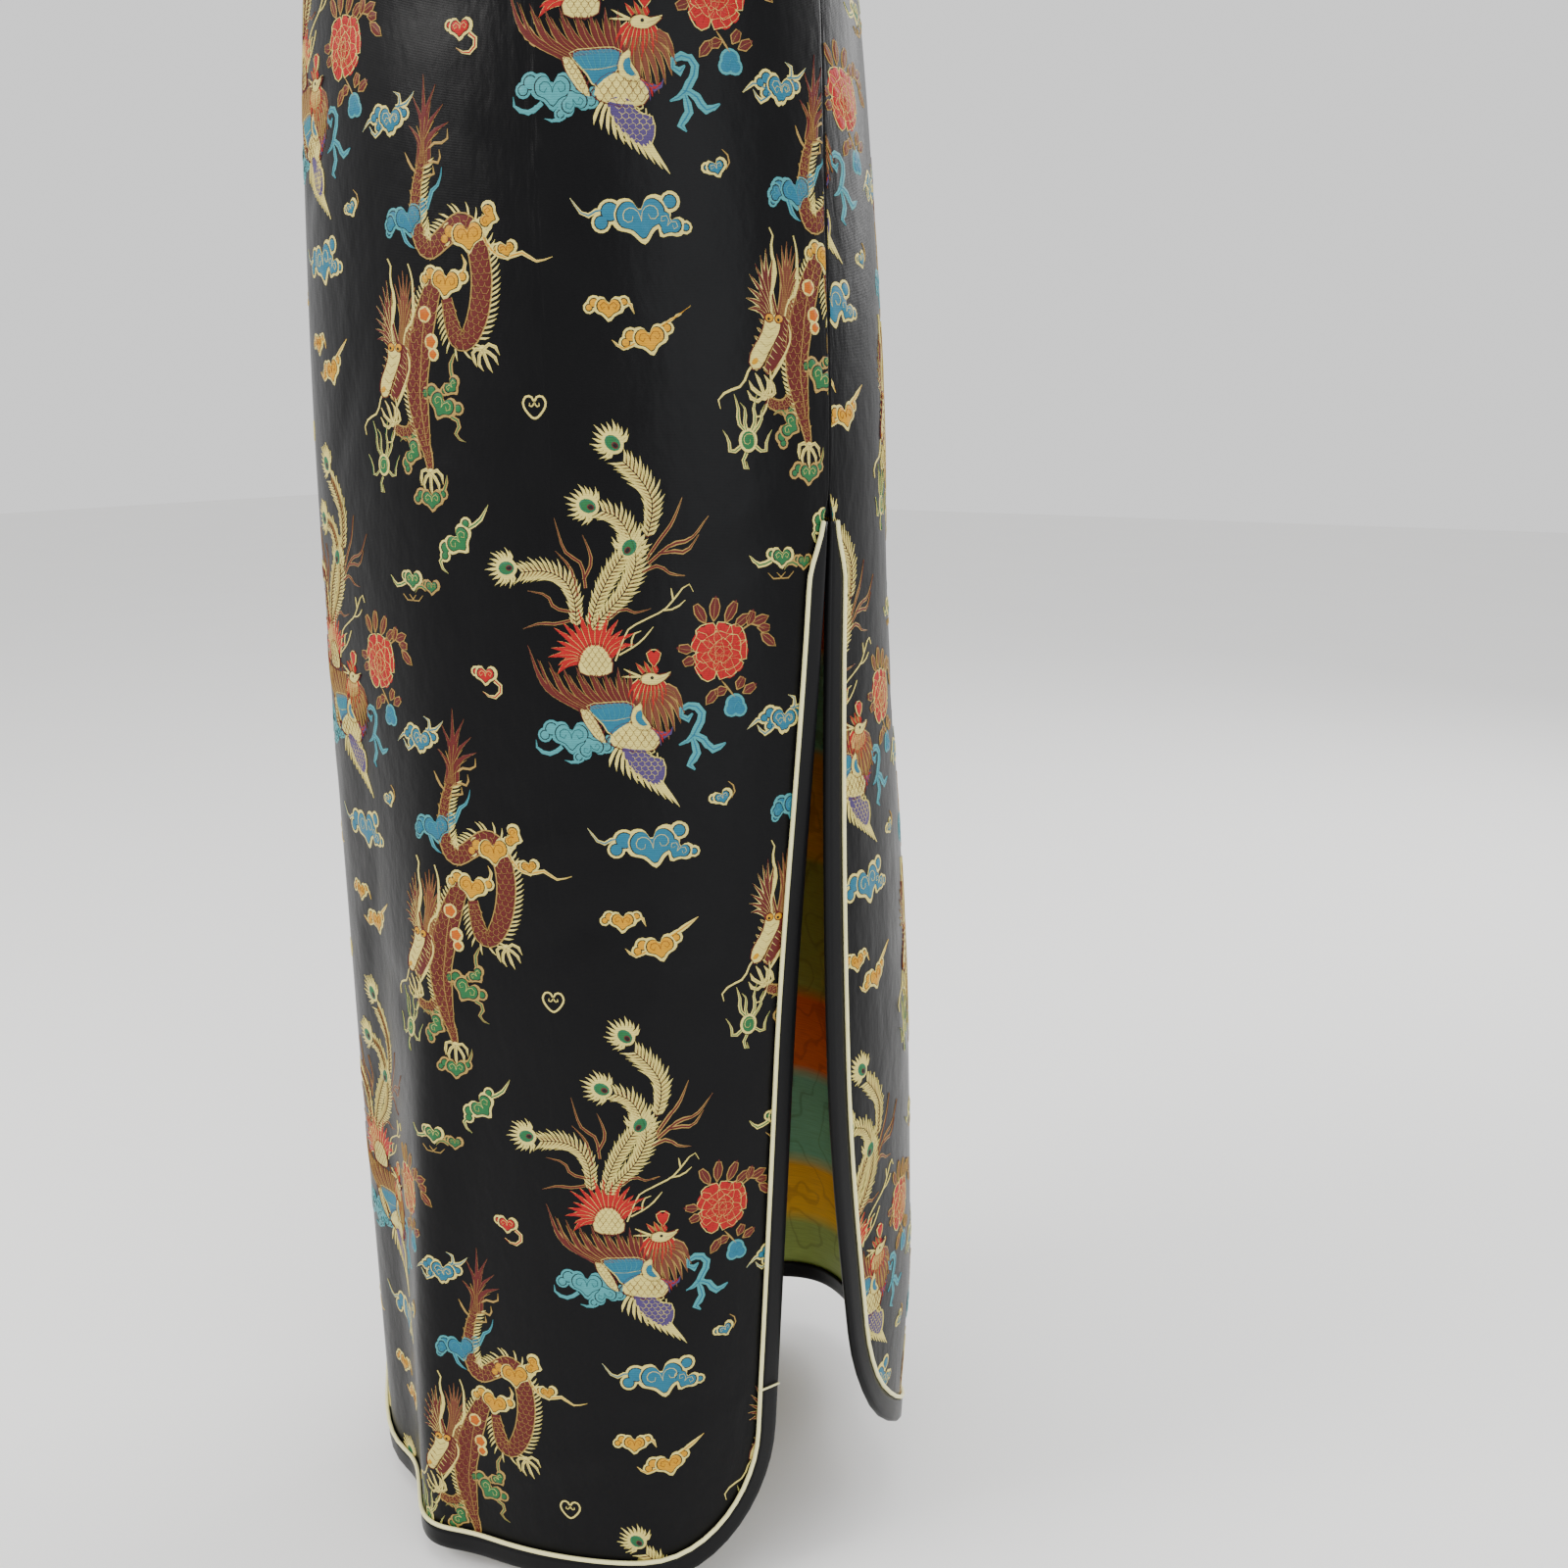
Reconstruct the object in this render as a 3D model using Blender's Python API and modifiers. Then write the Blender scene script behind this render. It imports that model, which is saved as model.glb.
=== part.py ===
"""Cheongsam dress: a long, sleeveless, side-slit dress as it hangs on a wearer.

Metres, +Z up. The origin is at the shoulders, where the wearer holds the dress up. The front faces -Y
and the wearer's left is +X. Every panel is one open sheet worked out from the section table, given its
wall by Solidify. What lies on a panel is made from the panel's own points, moved out along its normal.
"""
import math
from collections import namedtuple

import bpy
import numpy as np

DRESS = "cheongsam_dress"

# Driving sizes
WALL = 0.0012
SEAM_GAP = 0.0003
FRONT_HEM = -1.338
BACK_HEM = -1.312
SLIT_TOP = -0.730
UNDERARM = -0.185
FRONT_CORNER = 0.080
BACK_CORNER = 0.112
SHOULDER_ROLL = 0.115
SHOULDER_DROP = 0.040
SHOULDER_TIP = 0.170
NECK_HALF = 0.062
FRONT_NECK_DROP = 0.056
BACK_NECK_DROP = 0.016
COLLAR_HEIGHT = 0.042
COLLAR_WALL = 0.0016
COLLAR_LEAN = 0.12
COLLAR_TILT = 0.30
BINDING_WIDTH = 0.011
BINDING_WALL = 0.0010
LAY_GAP = 0.0006
HEM_GAP = 0.0009
TOP_GAP = 0.0010
PIPING_RADIUS = 0.00125
SLIT_RECESS = 0.0028
FROG_CORD = 0.0024
FROG_KNOT = 0.0052
FROG_LENGTH = 0.034
ARMHOLE_BINDING_WIDTH = 0.007

# One row for each height: half width, depth to front and back, how far the back panel swings to the
# wearer's left, and where the front's and the back's side edges lie, in degrees round from their middles
Section = namedtuple("Section", "height half_width front_depth back_depth back_swing front_edge back_edge")
SECTIONS = (
    Section(-1.345, 0.150, 0.136, 0.182, 0.040, 71, 94),
    Section(-1.037, 0.162, 0.135, 0.176, 0.021, 73, 107),
    Section(-0.730, 0.168, 0.134, 0.155, 0.000, 80, 100),
    Section(-0.576, 0.161, 0.136, 0.139, 0.000, 82, 98),
    Section(-0.460, 0.151, 0.131, 0.120, 0.000, 85, 95),
    Section(-0.400, 0.136, 0.113, 0.102, 0.000, 87, 93),
    Section(-0.350, 0.129, 0.105, 0.094, 0.000, 89, 91),
    Section(-0.300, 0.134, 0.111, 0.096, 0.000, 90, 90),
    Section(-0.235, 0.145, 0.125, 0.098, 0.000, 90, 90),
    Section(-0.185, 0.150, 0.114, 0.098, 0.000, 89, 89),
    Section(-0.165, 0.153, 0.107, 0.098, 0.000, 74, 76),
    Section(-0.120, 0.163, 0.094, 0.096, 0.000, 64, 68),
    Section(-0.040, 0.186, 0.078, 0.088, 0.000, 66, 67),
    Section(0.000, 0.188, 0.072, 0.084, 0.000, 66, 67),
)

# Soft vertical folds: the angle round from the panel's middle at the top, how far it drifts by the hem,
# the fold's half width in degrees, its full height off the form, where it starts and how fast it grows
Fold = namedtuple("Fold", "panel angle drift width rise top reach")
FOLDS = (
    Fold("front", 1, -12, 8, 0.009, -0.64, 0.66),
    Fold("front", -24, -9, 12, -0.011, -0.62, 0.60),
    Fold("front", 40, 3, 16, 0.004, -0.80, 0.50),
    Fold("back", -28, 2, 13, -0.012, -0.70, 0.50),
    Fold("back", 5, -3, 12, 0.009, -0.66, 0.50),
    Fold("back", 38, 4, 14, -0.010, -0.72, 0.50),
    Fold("back", 48, 0, 24, -0.024, -1.19, 0.18),
)

# Grid of a panel: columns in the middle and in each rounded corner, rows from the top down
MIDDLE_COLUMNS = 20
CORNER_COLUMNS = 6
CHEST_ROWS = 8
BODY_ROWS = 13
CORNER_ROWS = 4
CHEST_FLOOR = -0.235
UNDERLAP_DEPTH = 0.0050
UNDERLAP_REACH = 0.035
UNDERLAP_ROWS = 8
OPENING_FROGS = (("chest_frog", -0.26), ("side_frog", -0.60))


def smooth(step):
    """Rise from 0 to 1 with level ends."""
    step = np.clip(step, 0.0, 1.0)
    return step * step * (3.0 - 2.0 * step)


def column(name, height):
    """Read one column of the section table at any height, along a smooth monotone curve."""
    xs = np.array([row.height for row in SECTIONS])
    ys = np.array([getattr(row, name) for row in SECTIONS], dtype=float)
    step = np.diff(xs)
    slope = np.diff(ys) / step
    product = slope[:-1] * slope[1:]
    tangent = np.concatenate([[slope[0]], np.where(product > 0, 2 * product / (slope[:-1] + slope[1:]
                             + (product <= 0)), 0.0), [slope[-1]]])
    height = np.clip(height, xs[0], xs[-1])
    k = np.clip(np.searchsorted(xs, height) - 1, 0, len(step) - 1)
    t = (height - xs[k]) / step[k]
    return ((1 + 2 * t) * (1 - t) ** 2 * ys[k] + t * (1 - t) ** 2 * step[k] * tangent[k]
            + t * t * (3 - 2 * t) * ys[k + 1] + t * t * (t - 1) * step[k] * tangent[k + 1])


def foot(panel):
    """Height of a panel's hem, radius of its corners and half its width there."""
    hem, corner = (FRONT_HEM, FRONT_CORNER) if panel == "front" else (BACK_HEM, BACK_CORNER)
    return hem, corner, float(edge_angle(panel, hem) * column("half_width", hem))


def edge_angle(panel, height):
    """Angle of the panel's side edge, drawn back a little along the bound slit."""
    base = column("front_edge" if panel == "front" else "back_edge", height)
    recess = SLIT_RECESS * smooth((SLIT_TOP - height) / 0.014) + SEAM_GAP / 2
    return np.radians(base) - recess / column("half_width", height)


def shoulder(share, panel):
    """Height of the shoulder line above a share of the panel's width, and how far out that is."""
    out = np.abs(column("half_width", -0.02) * np.sin(share * edge_angle(panel, -0.02)))
    return -SHOULDER_DROP * np.clip((out - NECK_HALF) / (SHOULDER_TIP - NECK_HALF), 0.0, 1.2), out


def form(panel, share, height, lift=0.0):
    """A point of the panel: share runs -1 to 1 across it, lift moves out along the wall's normal."""
    share, height, lift = np.broadcast_arrays(*(np.asarray(v, dtype=float) for v in (share, height, lift)))
    place = surface(panel, share, height)
    if not np.any(lift):
        return place
    step = 0.0008
    across = surface(panel, share + step, height) - surface(panel, share - step, height)
    down = surface(panel, share, height - step) - surface(panel, share, height + step)
    normal = np.cross(down, across)
    normal /= np.linalg.norm(normal, axis=-1, keepdims=True)
    if panel == "back":
        normal = -normal
    return place + normal * lift[..., None]


def surface(panel, share, height):
    """The panel's sheet: a rounded section, rolled over to the shoulder line, with its folds."""
    front = panel == "front"
    angle = share * edge_angle(panel, height)
    crown, _ = shoulder(share, panel)
    roll = np.clip((crown - height) / SHOULDER_ROLL, 0.0, 1.0)
    roll = np.sqrt(np.clip(1.0 - (1.0 - roll) ** 2, 0.0, 1.0))
    half = column("half_width", height)
    near, far = ("front_depth", "back_depth") if front else ("back_depth", "front_depth")
    depth = np.where(np.cos(angle) >= 0, column(near, height), column(far, height))
    side = -1.0 if front else 1.0
    x, y = half * np.sin(angle), side * depth * np.cos(angle) * roll
    out_x, out_y = np.sin(angle) / half, side * np.cos(angle) / depth
    size = np.hypot(out_x, out_y)
    rise = np.zeros_like(x)
    for fold in FOLDS:
        if fold.panel == panel:
            growth = smooth((fold.top - height) / fold.reach)
            middle = np.radians(fold.angle + fold.drift * growth)
            rise = rise + fold.rise * growth * np.exp(-((angle - middle) / math.radians(fold.width)) ** 2)
    swing = 0.0 if front else column("back_swing", height)
    return np.stack([x + out_x / size * rise + swing, y + out_y / size * rise + side * SEAM_GAP * roll,
                     height + 0.0 * x], axis=-1)


def neckline(share, panel):
    """Height of the neck edge, which dips in a curve between the two neck points."""
    _, out = shoulder(share, panel)
    drop = FRONT_NECK_DROP if panel == "front" else BACK_NECK_DROP
    return -drop * np.clip(1.0 - (out / NECK_HALF) ** 2.2, 0.0, 1.0)


def panel_top(share, panel):
    """Top edge of a whole panel: the neck curve in the middle, the shoulder line on both sides."""
    crown, out = shoulder(share, panel)
    return np.where(out < NECK_HALF, neckline(share, panel), crown - 0.00002)


def opening_edge(share):
    """Height of the slanting opening, from the neck's middle down to the wearer's right underarm."""
    across = smooth(np.clip(-share, 0.0, 1.0)) * 0.55 + np.clip(-share, 0.0, 1.0) * 0.45
    return -FRONT_NECK_DROP - (abs(UNDERARM) - 0.004 - FRONT_NECK_DROP) * across


def front_top(share):
    """Top edge of the front: the wearer's left half is whole, the right half ends at the opening."""
    return np.where(share < 0, opening_edge(share), panel_top(share, "front"))


def hem_edge(panel, share):
    """Height of the hem, with a round corner at each side."""
    hem, corner, whole = foot(panel)
    inside = np.clip(np.abs(share) * whole - (whole - corner), 0.0, corner)
    return hem + corner - np.sqrt(np.clip(corner ** 2 - inside ** 2, 0.0, None))


def travel(share, height, panel):
    """Distance down the sheet from the shoulder line, round the roll of the shoulder."""
    fall = (shoulder(share, panel)[0] - height) / SHOULDER_ROLL
    return SHOULDER_ROLL * (np.arccos(np.clip(1.0 - fall, 0.0, 1.0)) + np.clip(fall - 1.0, 0.0, None))


def height_at(share, distance, panel):
    """Height reached after that distance down the sheet."""
    turn = distance / SHOULDER_ROLL
    fall = np.where(turn < math.pi / 2, 1.0 - np.cos(np.clip(turn, 0, math.pi / 2)), 1.0 + turn - math.pi / 2)
    return shoulder(share, panel)[0] - fall * SHOULDER_ROLL


def panel_shares(panel):
    """Columns across a panel: even in the middle, closing up round each hem corner."""
    _, radius, whole = foot(panel)
    inner = 1.0 - radius / whole
    corner = inner + (1.0 - inner) * np.sin(np.linspace(0, math.pi / 2, CORNER_COLUMNS + 1))[1:]
    return np.concatenate([-corner[::-1], np.linspace(-inner, inner, MIDDLE_COLUMNS + 1), corner])


def panel_heights(panel, shares, top):
    """Heights of a panel's grid, a row for each level and a column for each share."""
    start = travel(shares, top, panel)
    floor = travel(shares, np.full_like(shares, CHEST_FLOOR), panel)
    bound = start + BINDING_WIDTH
    levels = [start] + [bound + (floor - bound) * k / (CHEST_ROWS - 1) for k in range(CHEST_ROWS - 1)]
    chest = [height_at(shares, level, panel) for level in levels]
    hem, radius, _ = foot(panel)
    turn = hem + radius
    above = np.linspace(CHEST_FLOOR, SLIT_TOP, 8)[:-1]
    slit = SLIT_TOP - np.array([0.0, 0.006, 0.014, 0.024, 0.06])
    below = np.linspace(SLIT_TOP - 0.13, turn, BODY_ROWS - 4)
    body = [np.full_like(shares, level) for level in np.concatenate([above, slit, below])]
    hem_line = hem_edge(panel, shares)
    corner = [turn - (turn - hem_line) * k / CORNER_ROWS for k in range(1, CORNER_ROWS + 1)]
    return np.array(chest + body + corner)


def new_object(name, verts, faces, colour, roughness, collection):
    """Add one mesh object with its own Principled material."""
    mesh = bpy.data.meshes.new(name)
    mesh.from_pydata([tuple(v) for v in verts], [], faces)
    mesh.validate()
    thing = bpy.data.objects.new(name, mesh)
    collection.objects.link(thing)
    material = bpy.data.materials.new(name)
    material.use_nodes = True
    shader = material.node_tree.nodes["Principled BSDF"]
    shader.inputs["Base Color"].default_value = (*colour, 1.0)
    shader.inputs["Roughness"].default_value = roughness
    mesh.materials.append(material)
    return thing


def add_wall(thing, thickness):
    """Give an open sheet its wall, half to each side."""
    weld = thing.modifiers.new("weld", "WELD")
    weld.merge_threshold = 0.00001
    wall = thing.modifiers.new("wall", "SOLIDIFY")
    wall.thickness = thickness
    wall.offset = 0.0
    return thing


def grid_faces(rows, cols, flip=False, closed=False):
    """Quads of a grid, turned round where flip is set, and joined end to end where closed."""
    faces = []
    for i in range(rows - 1 + closed):
        for j in range(cols - 1):
            a, b = i * cols + j, (i + 1) % rows * cols + j
            faces.append((a, a + 1, b + 1, b) if flip else (a, b, b + 1, a + 1))
    return faces


def sheet(name, points, colour, thickness, collection, flip=False):
    """A grid of points as a cloth wall."""
    rows, cols = points.shape[:2]
    thing = new_object(name, points.reshape(-1, 3), grid_faces(rows, cols, flip), colour, 0.45, collection)
    return add_wall(thing, thickness)


def edge_path(panel, shares, heights):
    """The bound edge of the skirt: down one slit, round the hem and up the other slit."""
    rows = heights[:, 0]
    hem, radius, _ = foot(panel)
    level = rows[(rows < SLIT_TOP - 0.010) & (rows > hem + radius + 0.0001)]
    level = np.append(level, hem + radius)
    left = np.column_stack([np.full(len(level), 1.0), level])
    across = shares[1:-1][::-1]
    bottom = np.column_stack([across, hem_edge(panel, across)])
    return np.vstack([left, bottom, left[::-1] * (-1.0, 1.0)])


def inward(panel, path):
    """Unit steps into the cloth at each point of an edge, in metres across and up the sheet."""
    metres = path * 1.0
    metres[:, 0] = path[:, 0] * edge_angle(panel, path[:, 1]) * column("half_width", path[:, 1])
    run = np.gradient(metres, axis=0)
    run /= np.linalg.norm(run, axis=1, keepdims=True)
    return np.column_stack([run[:, 1], -run[:, 0]])


def beside(panel, path, steps, distance, lift):
    """Points of the sheet at a distance in from its edge, moved out by lift."""
    width = edge_angle(panel, path[:, 1]) * column("half_width", path[:, 1])
    share = path[:, 0] + steps[:, 0] * distance / width
    return form(panel, share, path[:, 1] + steps[:, 1] * distance, lift)


def skirt_binding(name, panel, path, colour, collection):
    """The bias strip folded round a panel's slits and hem."""
    steps = inward(panel, path)
    points = np.stack([beside(panel, path, steps, inset, lift) for inset, lift in wrap_legs(BINDING_WIDTH, HEM_GAP)], axis=1)
    return sheet(name, points, colour, BINDING_WALL, collection, flip=panel != "front")


def cord(name, points, radius, colour, collection, sides=6):
    """A round cord of one closed body along a chain of points."""
    run = np.gradient(points, axis=0)
    run /= np.linalg.norm(run, axis=1, keepdims=True)
    guide = np.cross(run, (0.31, 0.22, 0.93))
    guide /= np.linalg.norm(guide, axis=1, keepdims=True)
    other = np.cross(run, guide)
    turn = np.linspace(0, 2 * math.pi, sides, endpoint=False)
    radius = np.broadcast_to(radius, len(points))
    ring = points[:, None] + radius[:, None, None] * (np.cos(turn)[:, None] * guide[:, None]
                                                      + np.sin(turn)[:, None] * other[:, None])
    count = len(points)
    faces = [(i * sides + j, i * sides + (j + 1) % sides, (i + 1) * sides + (j + 1) % sides, (i + 1) * sides + j)
             for i in range(count - 1) for j in range(sides)]
    faces.append(tuple(range(sides))[::-1])
    faces.append(tuple((count - 1) * sides + j for j in range(sides)))
    return new_object(name, ring.reshape(-1, 3), faces, colour, 0.5, collection)


def piping(name, panel, path, colour, collection):
    """The thin corded edge that shows beside the skirt's binding."""
    steps = inward(panel, path)
    inset = BINDING_WIDTH + LAY_GAP + PIPING_RADIUS
    lift = WALL / 2 + LAY_GAP + PIPING_RADIUS
    return cord(name, beside(panel, path, steps, inset, lift), PIPING_RADIUS, colour, collection)


def collar_points():
    """The stand collar: the neck edge raised and leaned in, with a small gap at the front's middle."""
    turn = np.radians(np.linspace(2.0, 358.0, 49))
    across = NECK_HALF * np.sin(turn)
    front = np.cos(turn) > 0
    drop = np.where(front, FRONT_NECK_DROP, BACK_NECK_DROP)
    foot = -drop * np.clip(1.0 - (np.abs(across) / NECK_HALF) ** 2.2, 0.0, 1.0)
    fall = np.clip(-foot / SHOULDER_ROLL, 0.0, 1.0)
    roll = np.sqrt(1.0 - (1.0 - fall) ** 2)
    angle = np.arcsin(np.clip(across / column("half_width", foot), -1.0, 1.0))
    depth = np.where(front, -column("front_depth", foot), column("back_depth", foot))
    base = np.column_stack([across, depth * np.cos(angle) * roll, foot])
    end = smooth(np.minimum(np.degrees(turn), 360.0 - np.degrees(turn)) / 14.0)
    rows = []
    for share in np.linspace(0.0, 1.0, 5):
        rise = WALL / 2 + COLLAR_WALL / 2 + LAY_GAP + share * COLLAR_HEIGHT * (0.72 + 0.28 * end)
        rows.append(np.column_stack([base[:, 0] * (1.0 - COLLAR_LEAN * share),
                                     base[:, 1] * (1.0 - COLLAR_LEAN * share) - COLLAR_TILT * share * COLLAR_HEIGHT,
                                     base[:, 2] + rise]))
    return np.array(rows)


def down_sheet(share, top, distance, lift):
    """Points of the front's form at a distance down the sheet from a top edge, moved out by lift."""
    reached = travel(share, top, "front") + distance
    return form("front", share, height_at(share, reached, "front"), lift)


def wrap_legs(width, gap=LAY_GAP):
    """Inset and lift of each corner of a strip folded round an edge, from its outer leg to its inner."""
    clear = WALL / 2 + gap + BINDING_WALL / 2
    rim = WALL / 2 - clear
    return ((width, clear), (0.0, clear), (rim, clear), (rim, -clear), (0.0, -clear), (width, -clear))


def armhole_binding(name, panel, side, heights, depth, colour, collection):
    """A narrow strip folded round one panel's armhole edge, in at every height along the panel's row."""
    points = []
    for inset, lift in wrap_legs(ARMHOLE_BINDING_WIDTH, TOP_GAP):
        share = side * (1.0 - inset / (edge_angle(panel, heights) * column("half_width", heights)))
        points.append(form(panel, share, heights, lift - depth))
    flip = (side > 0) == (panel == "front")
    return sheet(name, np.stack(points, axis=1), colour, BINDING_WALL, collection, flip=flip)


def leg_radius(count, knotted):
    """Radius at each point of a frog's leg."""
    radius = np.full(count, FROG_CORD)
    radius[0] = radius[-1] = FROG_CORD * 0.55
    if knotted:
        radius[-5:] = np.array([FROG_CORD, FROG_KNOT * 0.8, FROG_KNOT, FROG_KNOT * 0.8, FROG_KNOT * 0.35])
    return radius


def frog_leg(name, points, knotted, colour, collection):
    """One leg of a frog closure: a stiff cord that ends plainly, or in a knot."""
    return cord(name, points, leg_radius(len(points), knotted), colour, collection, sides=8)


def knot_spacing(start, stop):
    """Steps along a knotted leg: even along the cord, then close together round the knot's ball."""
    ball = stop + np.sign(start - stop) * FROG_KNOT * np.array([1.9, 1.45, 0.9, 0.35, 0.0])
    return np.concatenate([np.linspace(start, ball[0], 6)[:-1], ball])


def opening_frog(name, share, colour, collection):
    """A frog across the slanting opening: a loop on the front and a knotted leg on the underlap."""
    top = opening_edge(share)
    over = WALL / 2 + TOP_GAP + BINDING_WALL + SEAM_GAP + FROG_CORD
    on_underlap = WALL / 2 + SEAM_GAP + FROG_CORD - UNDERLAP_DEPTH
    loop = np.linspace(FROG_LENGTH, 0.0, 7)
    frog_leg(name + "_loop", down_sheet(share, top, loop, over), False, colour, collection)
    reach = knot_spacing(-FROG_LENGTH, -1.5 * FROG_CORD)
    lift = on_underlap + (over - on_underlap) * smooth((reach + FROG_LENGTH * 0.80) / (FROG_LENGTH * 0.46))
    frog_leg(name + "_button", down_sheet(share, top, reach, lift), True, colour, collection)


def collar_frog(name, ring, colour, collection):
    """A frog across the collar's front gap, lying on the collar's outer face."""
    reach = np.concatenate([[0.0], np.cumsum(np.linalg.norm(np.diff(ring, axis=0), axis=1))])

    def along(distance, knotted):
        """Points round the ring, off its face by the leg's own radius."""
        held = np.clip(distance, 0.0, reach[-1])
        place = np.column_stack([np.interp(held, reach, ring[:, k]) for k in range(3)])
        place[:, 0] += distance - held
        out = np.column_stack([place[:, 0], place[:, 1], np.zeros(len(place))])
        out /= np.linalg.norm(out, axis=1, keepdims=True)
        stand = np.maximum(leg_radius(len(place), knotted), FROG_CORD)
        return place + out * (COLLAR_WALL / 2 + LAY_GAP + stand)[:, None]

    loop = along(np.linspace(FROG_LENGTH, 0.0045, 7), False)
    frog_leg(name + "_loop", loop, False, colour, collection)
    button = along(knot_spacing(reach[-1] - FROG_LENGTH, reach[-1] + 0.003), True)
    frog_leg(name + "_button", button, True, colour, collection)


def build():
    """Build every sub-part and return their collection."""
    for old in list(bpy.data.objects):
        bpy.data.objects.remove(old, do_unlink=True)
    group = bpy.data.collections.new(DRESS)
    bpy.context.scene.collection.children.link(group)
    black, edge_black, pale = (0.012, 0.012, 0.014), (0.008, 0.008, 0.009), (0.80, 0.78, 0.45)

    for panel, top in (("front", front_top), ("back", lambda share: panel_top(share, "back"))):
        shares = panel_shares(panel)
        heights = panel_heights(panel, shares, top(shares))
        sheet(panel, form(panel, shares[None, :], heights), black, WALL, group, flip=panel == "back")
        path = edge_path(panel, shares, heights)
        skirt_binding(panel + "_binding", panel, path, edge_black, group)
        piping(panel + "_piping", panel, path, pale, group)

    shares = np.linspace(-1.0, -0.02, 14)
    start = travel(shares, panel_top(shares, "front"), "front")
    end = travel(shares, opening_edge(shares) - UNDERLAP_REACH, "front")
    heights = np.array([height_at(shares, start + (end - start) * k / UNDERLAP_ROWS, "front")
                        for k in range(UNDERLAP_ROWS + 1)])
    sheet("front_underlap", form("front", shares[None, :], heights, -UNDERLAP_DEPTH), black, WALL, group)
    right_heights = heights[:, 0]

    shares = panel_shares("front")
    run = shares[(shares <= -0.04) & (shares >= -0.72)]
    points = [down_sheet(run, opening_edge(run), inset, lift) for inset, lift in wrap_legs(BINDING_WIDTH, TOP_GAP)]
    sheet("opening_binding", np.stack(points, axis=1), edge_black, BINDING_WALL, group)

    for panel, side, rows, depth in (("front", 1.0, None, 0.0), ("back", 1.0, None, 0.0),
                                     ("back", -1.0, None, 0.0), ("front", -1.0, right_heights, UNDERLAP_DEPTH)):
        if rows is None:
            edge = np.array([side])
            rows = panel_heights(panel, edge, panel_top(edge, panel))[:CHEST_ROWS, 0]
        rows = rows[(rows < -SHOULDER_DROP - 0.022) & (rows > UNDERARM + 0.006)]
        name = "armhole_binding_" + ("left_" if side > 0 else "right_") + panel
        armhole_binding(name, panel, side, rows, depth, edge_black, group)

    rings = collar_points()
    sheet("collar", rings, black, COLLAR_WALL, group)
    collar_frog("collar_frog", rings[2], edge_black, group)
    for name, share in OPENING_FROGS:
        opening_frog(name, share, edge_black, group)
    return group


if __name__ == "__main__":
    build()
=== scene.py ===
"""Looks of the cheongsam dress: satin panels, woven figures, bound edges, collar, frogs and studio.

Metres, +Z up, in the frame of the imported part. The front faces -Y and the wearer's left is +X.
"""
import logging
import math
from dataclasses import dataclass, field
from enum import Enum
from typing import Callable, Optional, Sequence

import bpy
import numpy as np
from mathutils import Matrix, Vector


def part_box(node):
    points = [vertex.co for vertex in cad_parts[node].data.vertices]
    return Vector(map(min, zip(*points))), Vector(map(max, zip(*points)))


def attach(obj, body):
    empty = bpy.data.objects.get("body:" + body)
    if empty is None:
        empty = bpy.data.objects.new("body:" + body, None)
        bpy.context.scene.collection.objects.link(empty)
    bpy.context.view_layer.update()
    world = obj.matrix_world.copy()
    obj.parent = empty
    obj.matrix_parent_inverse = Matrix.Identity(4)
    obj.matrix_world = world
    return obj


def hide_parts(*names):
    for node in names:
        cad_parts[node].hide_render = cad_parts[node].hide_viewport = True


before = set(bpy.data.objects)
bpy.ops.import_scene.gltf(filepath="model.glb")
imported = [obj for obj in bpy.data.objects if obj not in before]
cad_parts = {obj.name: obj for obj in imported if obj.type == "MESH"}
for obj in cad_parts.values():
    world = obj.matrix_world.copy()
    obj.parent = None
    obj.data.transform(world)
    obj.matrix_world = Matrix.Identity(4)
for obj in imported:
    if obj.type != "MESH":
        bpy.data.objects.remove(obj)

logging.basicConfig(level=logging.INFO, format="%(message)s")
LOG = logging.getLogger("cheongsam")

Array = np.ndarray
MM = 0.001
CLOTH_MAP = "Cloth"


class Side(Enum):
    """The two large panels of the dress."""

    FRONT = "front"
    BACK = "back"


class Thread(Enum):
    """Weft threads of the woven figures, in the order of their material slots."""

    GOLD = 0
    MAROON = 1
    RED = 2
    BLUE = 3
    TEAL = 4
    YELLOW = 5
    ORANGE = 6
    GREEN = 7
    PURPLE = 8
    CREAM = 9
    BROWN = 10
    BLACK = 11


GOLD, MAROON, RED, BLUE, TEAL, YELLOW, ORANGE, GREEN, PURPLE, CREAM, BROWN, BLACK = Thread


@dataclass(frozen=True)
class Section:
    """One height of the dress: its half width, depths, the back's swing and both side edges in degrees."""

    height: float
    half_width: float
    front_depth: float
    back_depth: float
    back_swing: float
    front_edge: float
    back_edge: float


@dataclass(frozen=True)
class Fold:
    """A long soft fold: where it runs in degrees round, its drift, half width, rise, start and reach."""

    side: Side
    angle: float
    drift: float
    width: float
    rise: float
    top: float
    reach: float


@dataclass(frozen=True)
class Crease:
    """A short soft crease: its middle in mm across and down, size, slant and depth in mm."""

    side: Side
    across: float
    down: float
    length: float
    width: float
    slant: float
    depth: float


def smooth(step: Array) -> Array:
    """Rise from 0 to 1 with level ends: three times the square less twice the cube."""
    step = np.clip(step, 0.0, 1.0)
    return step * step * (3.0 - 2.0 * step)


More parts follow.
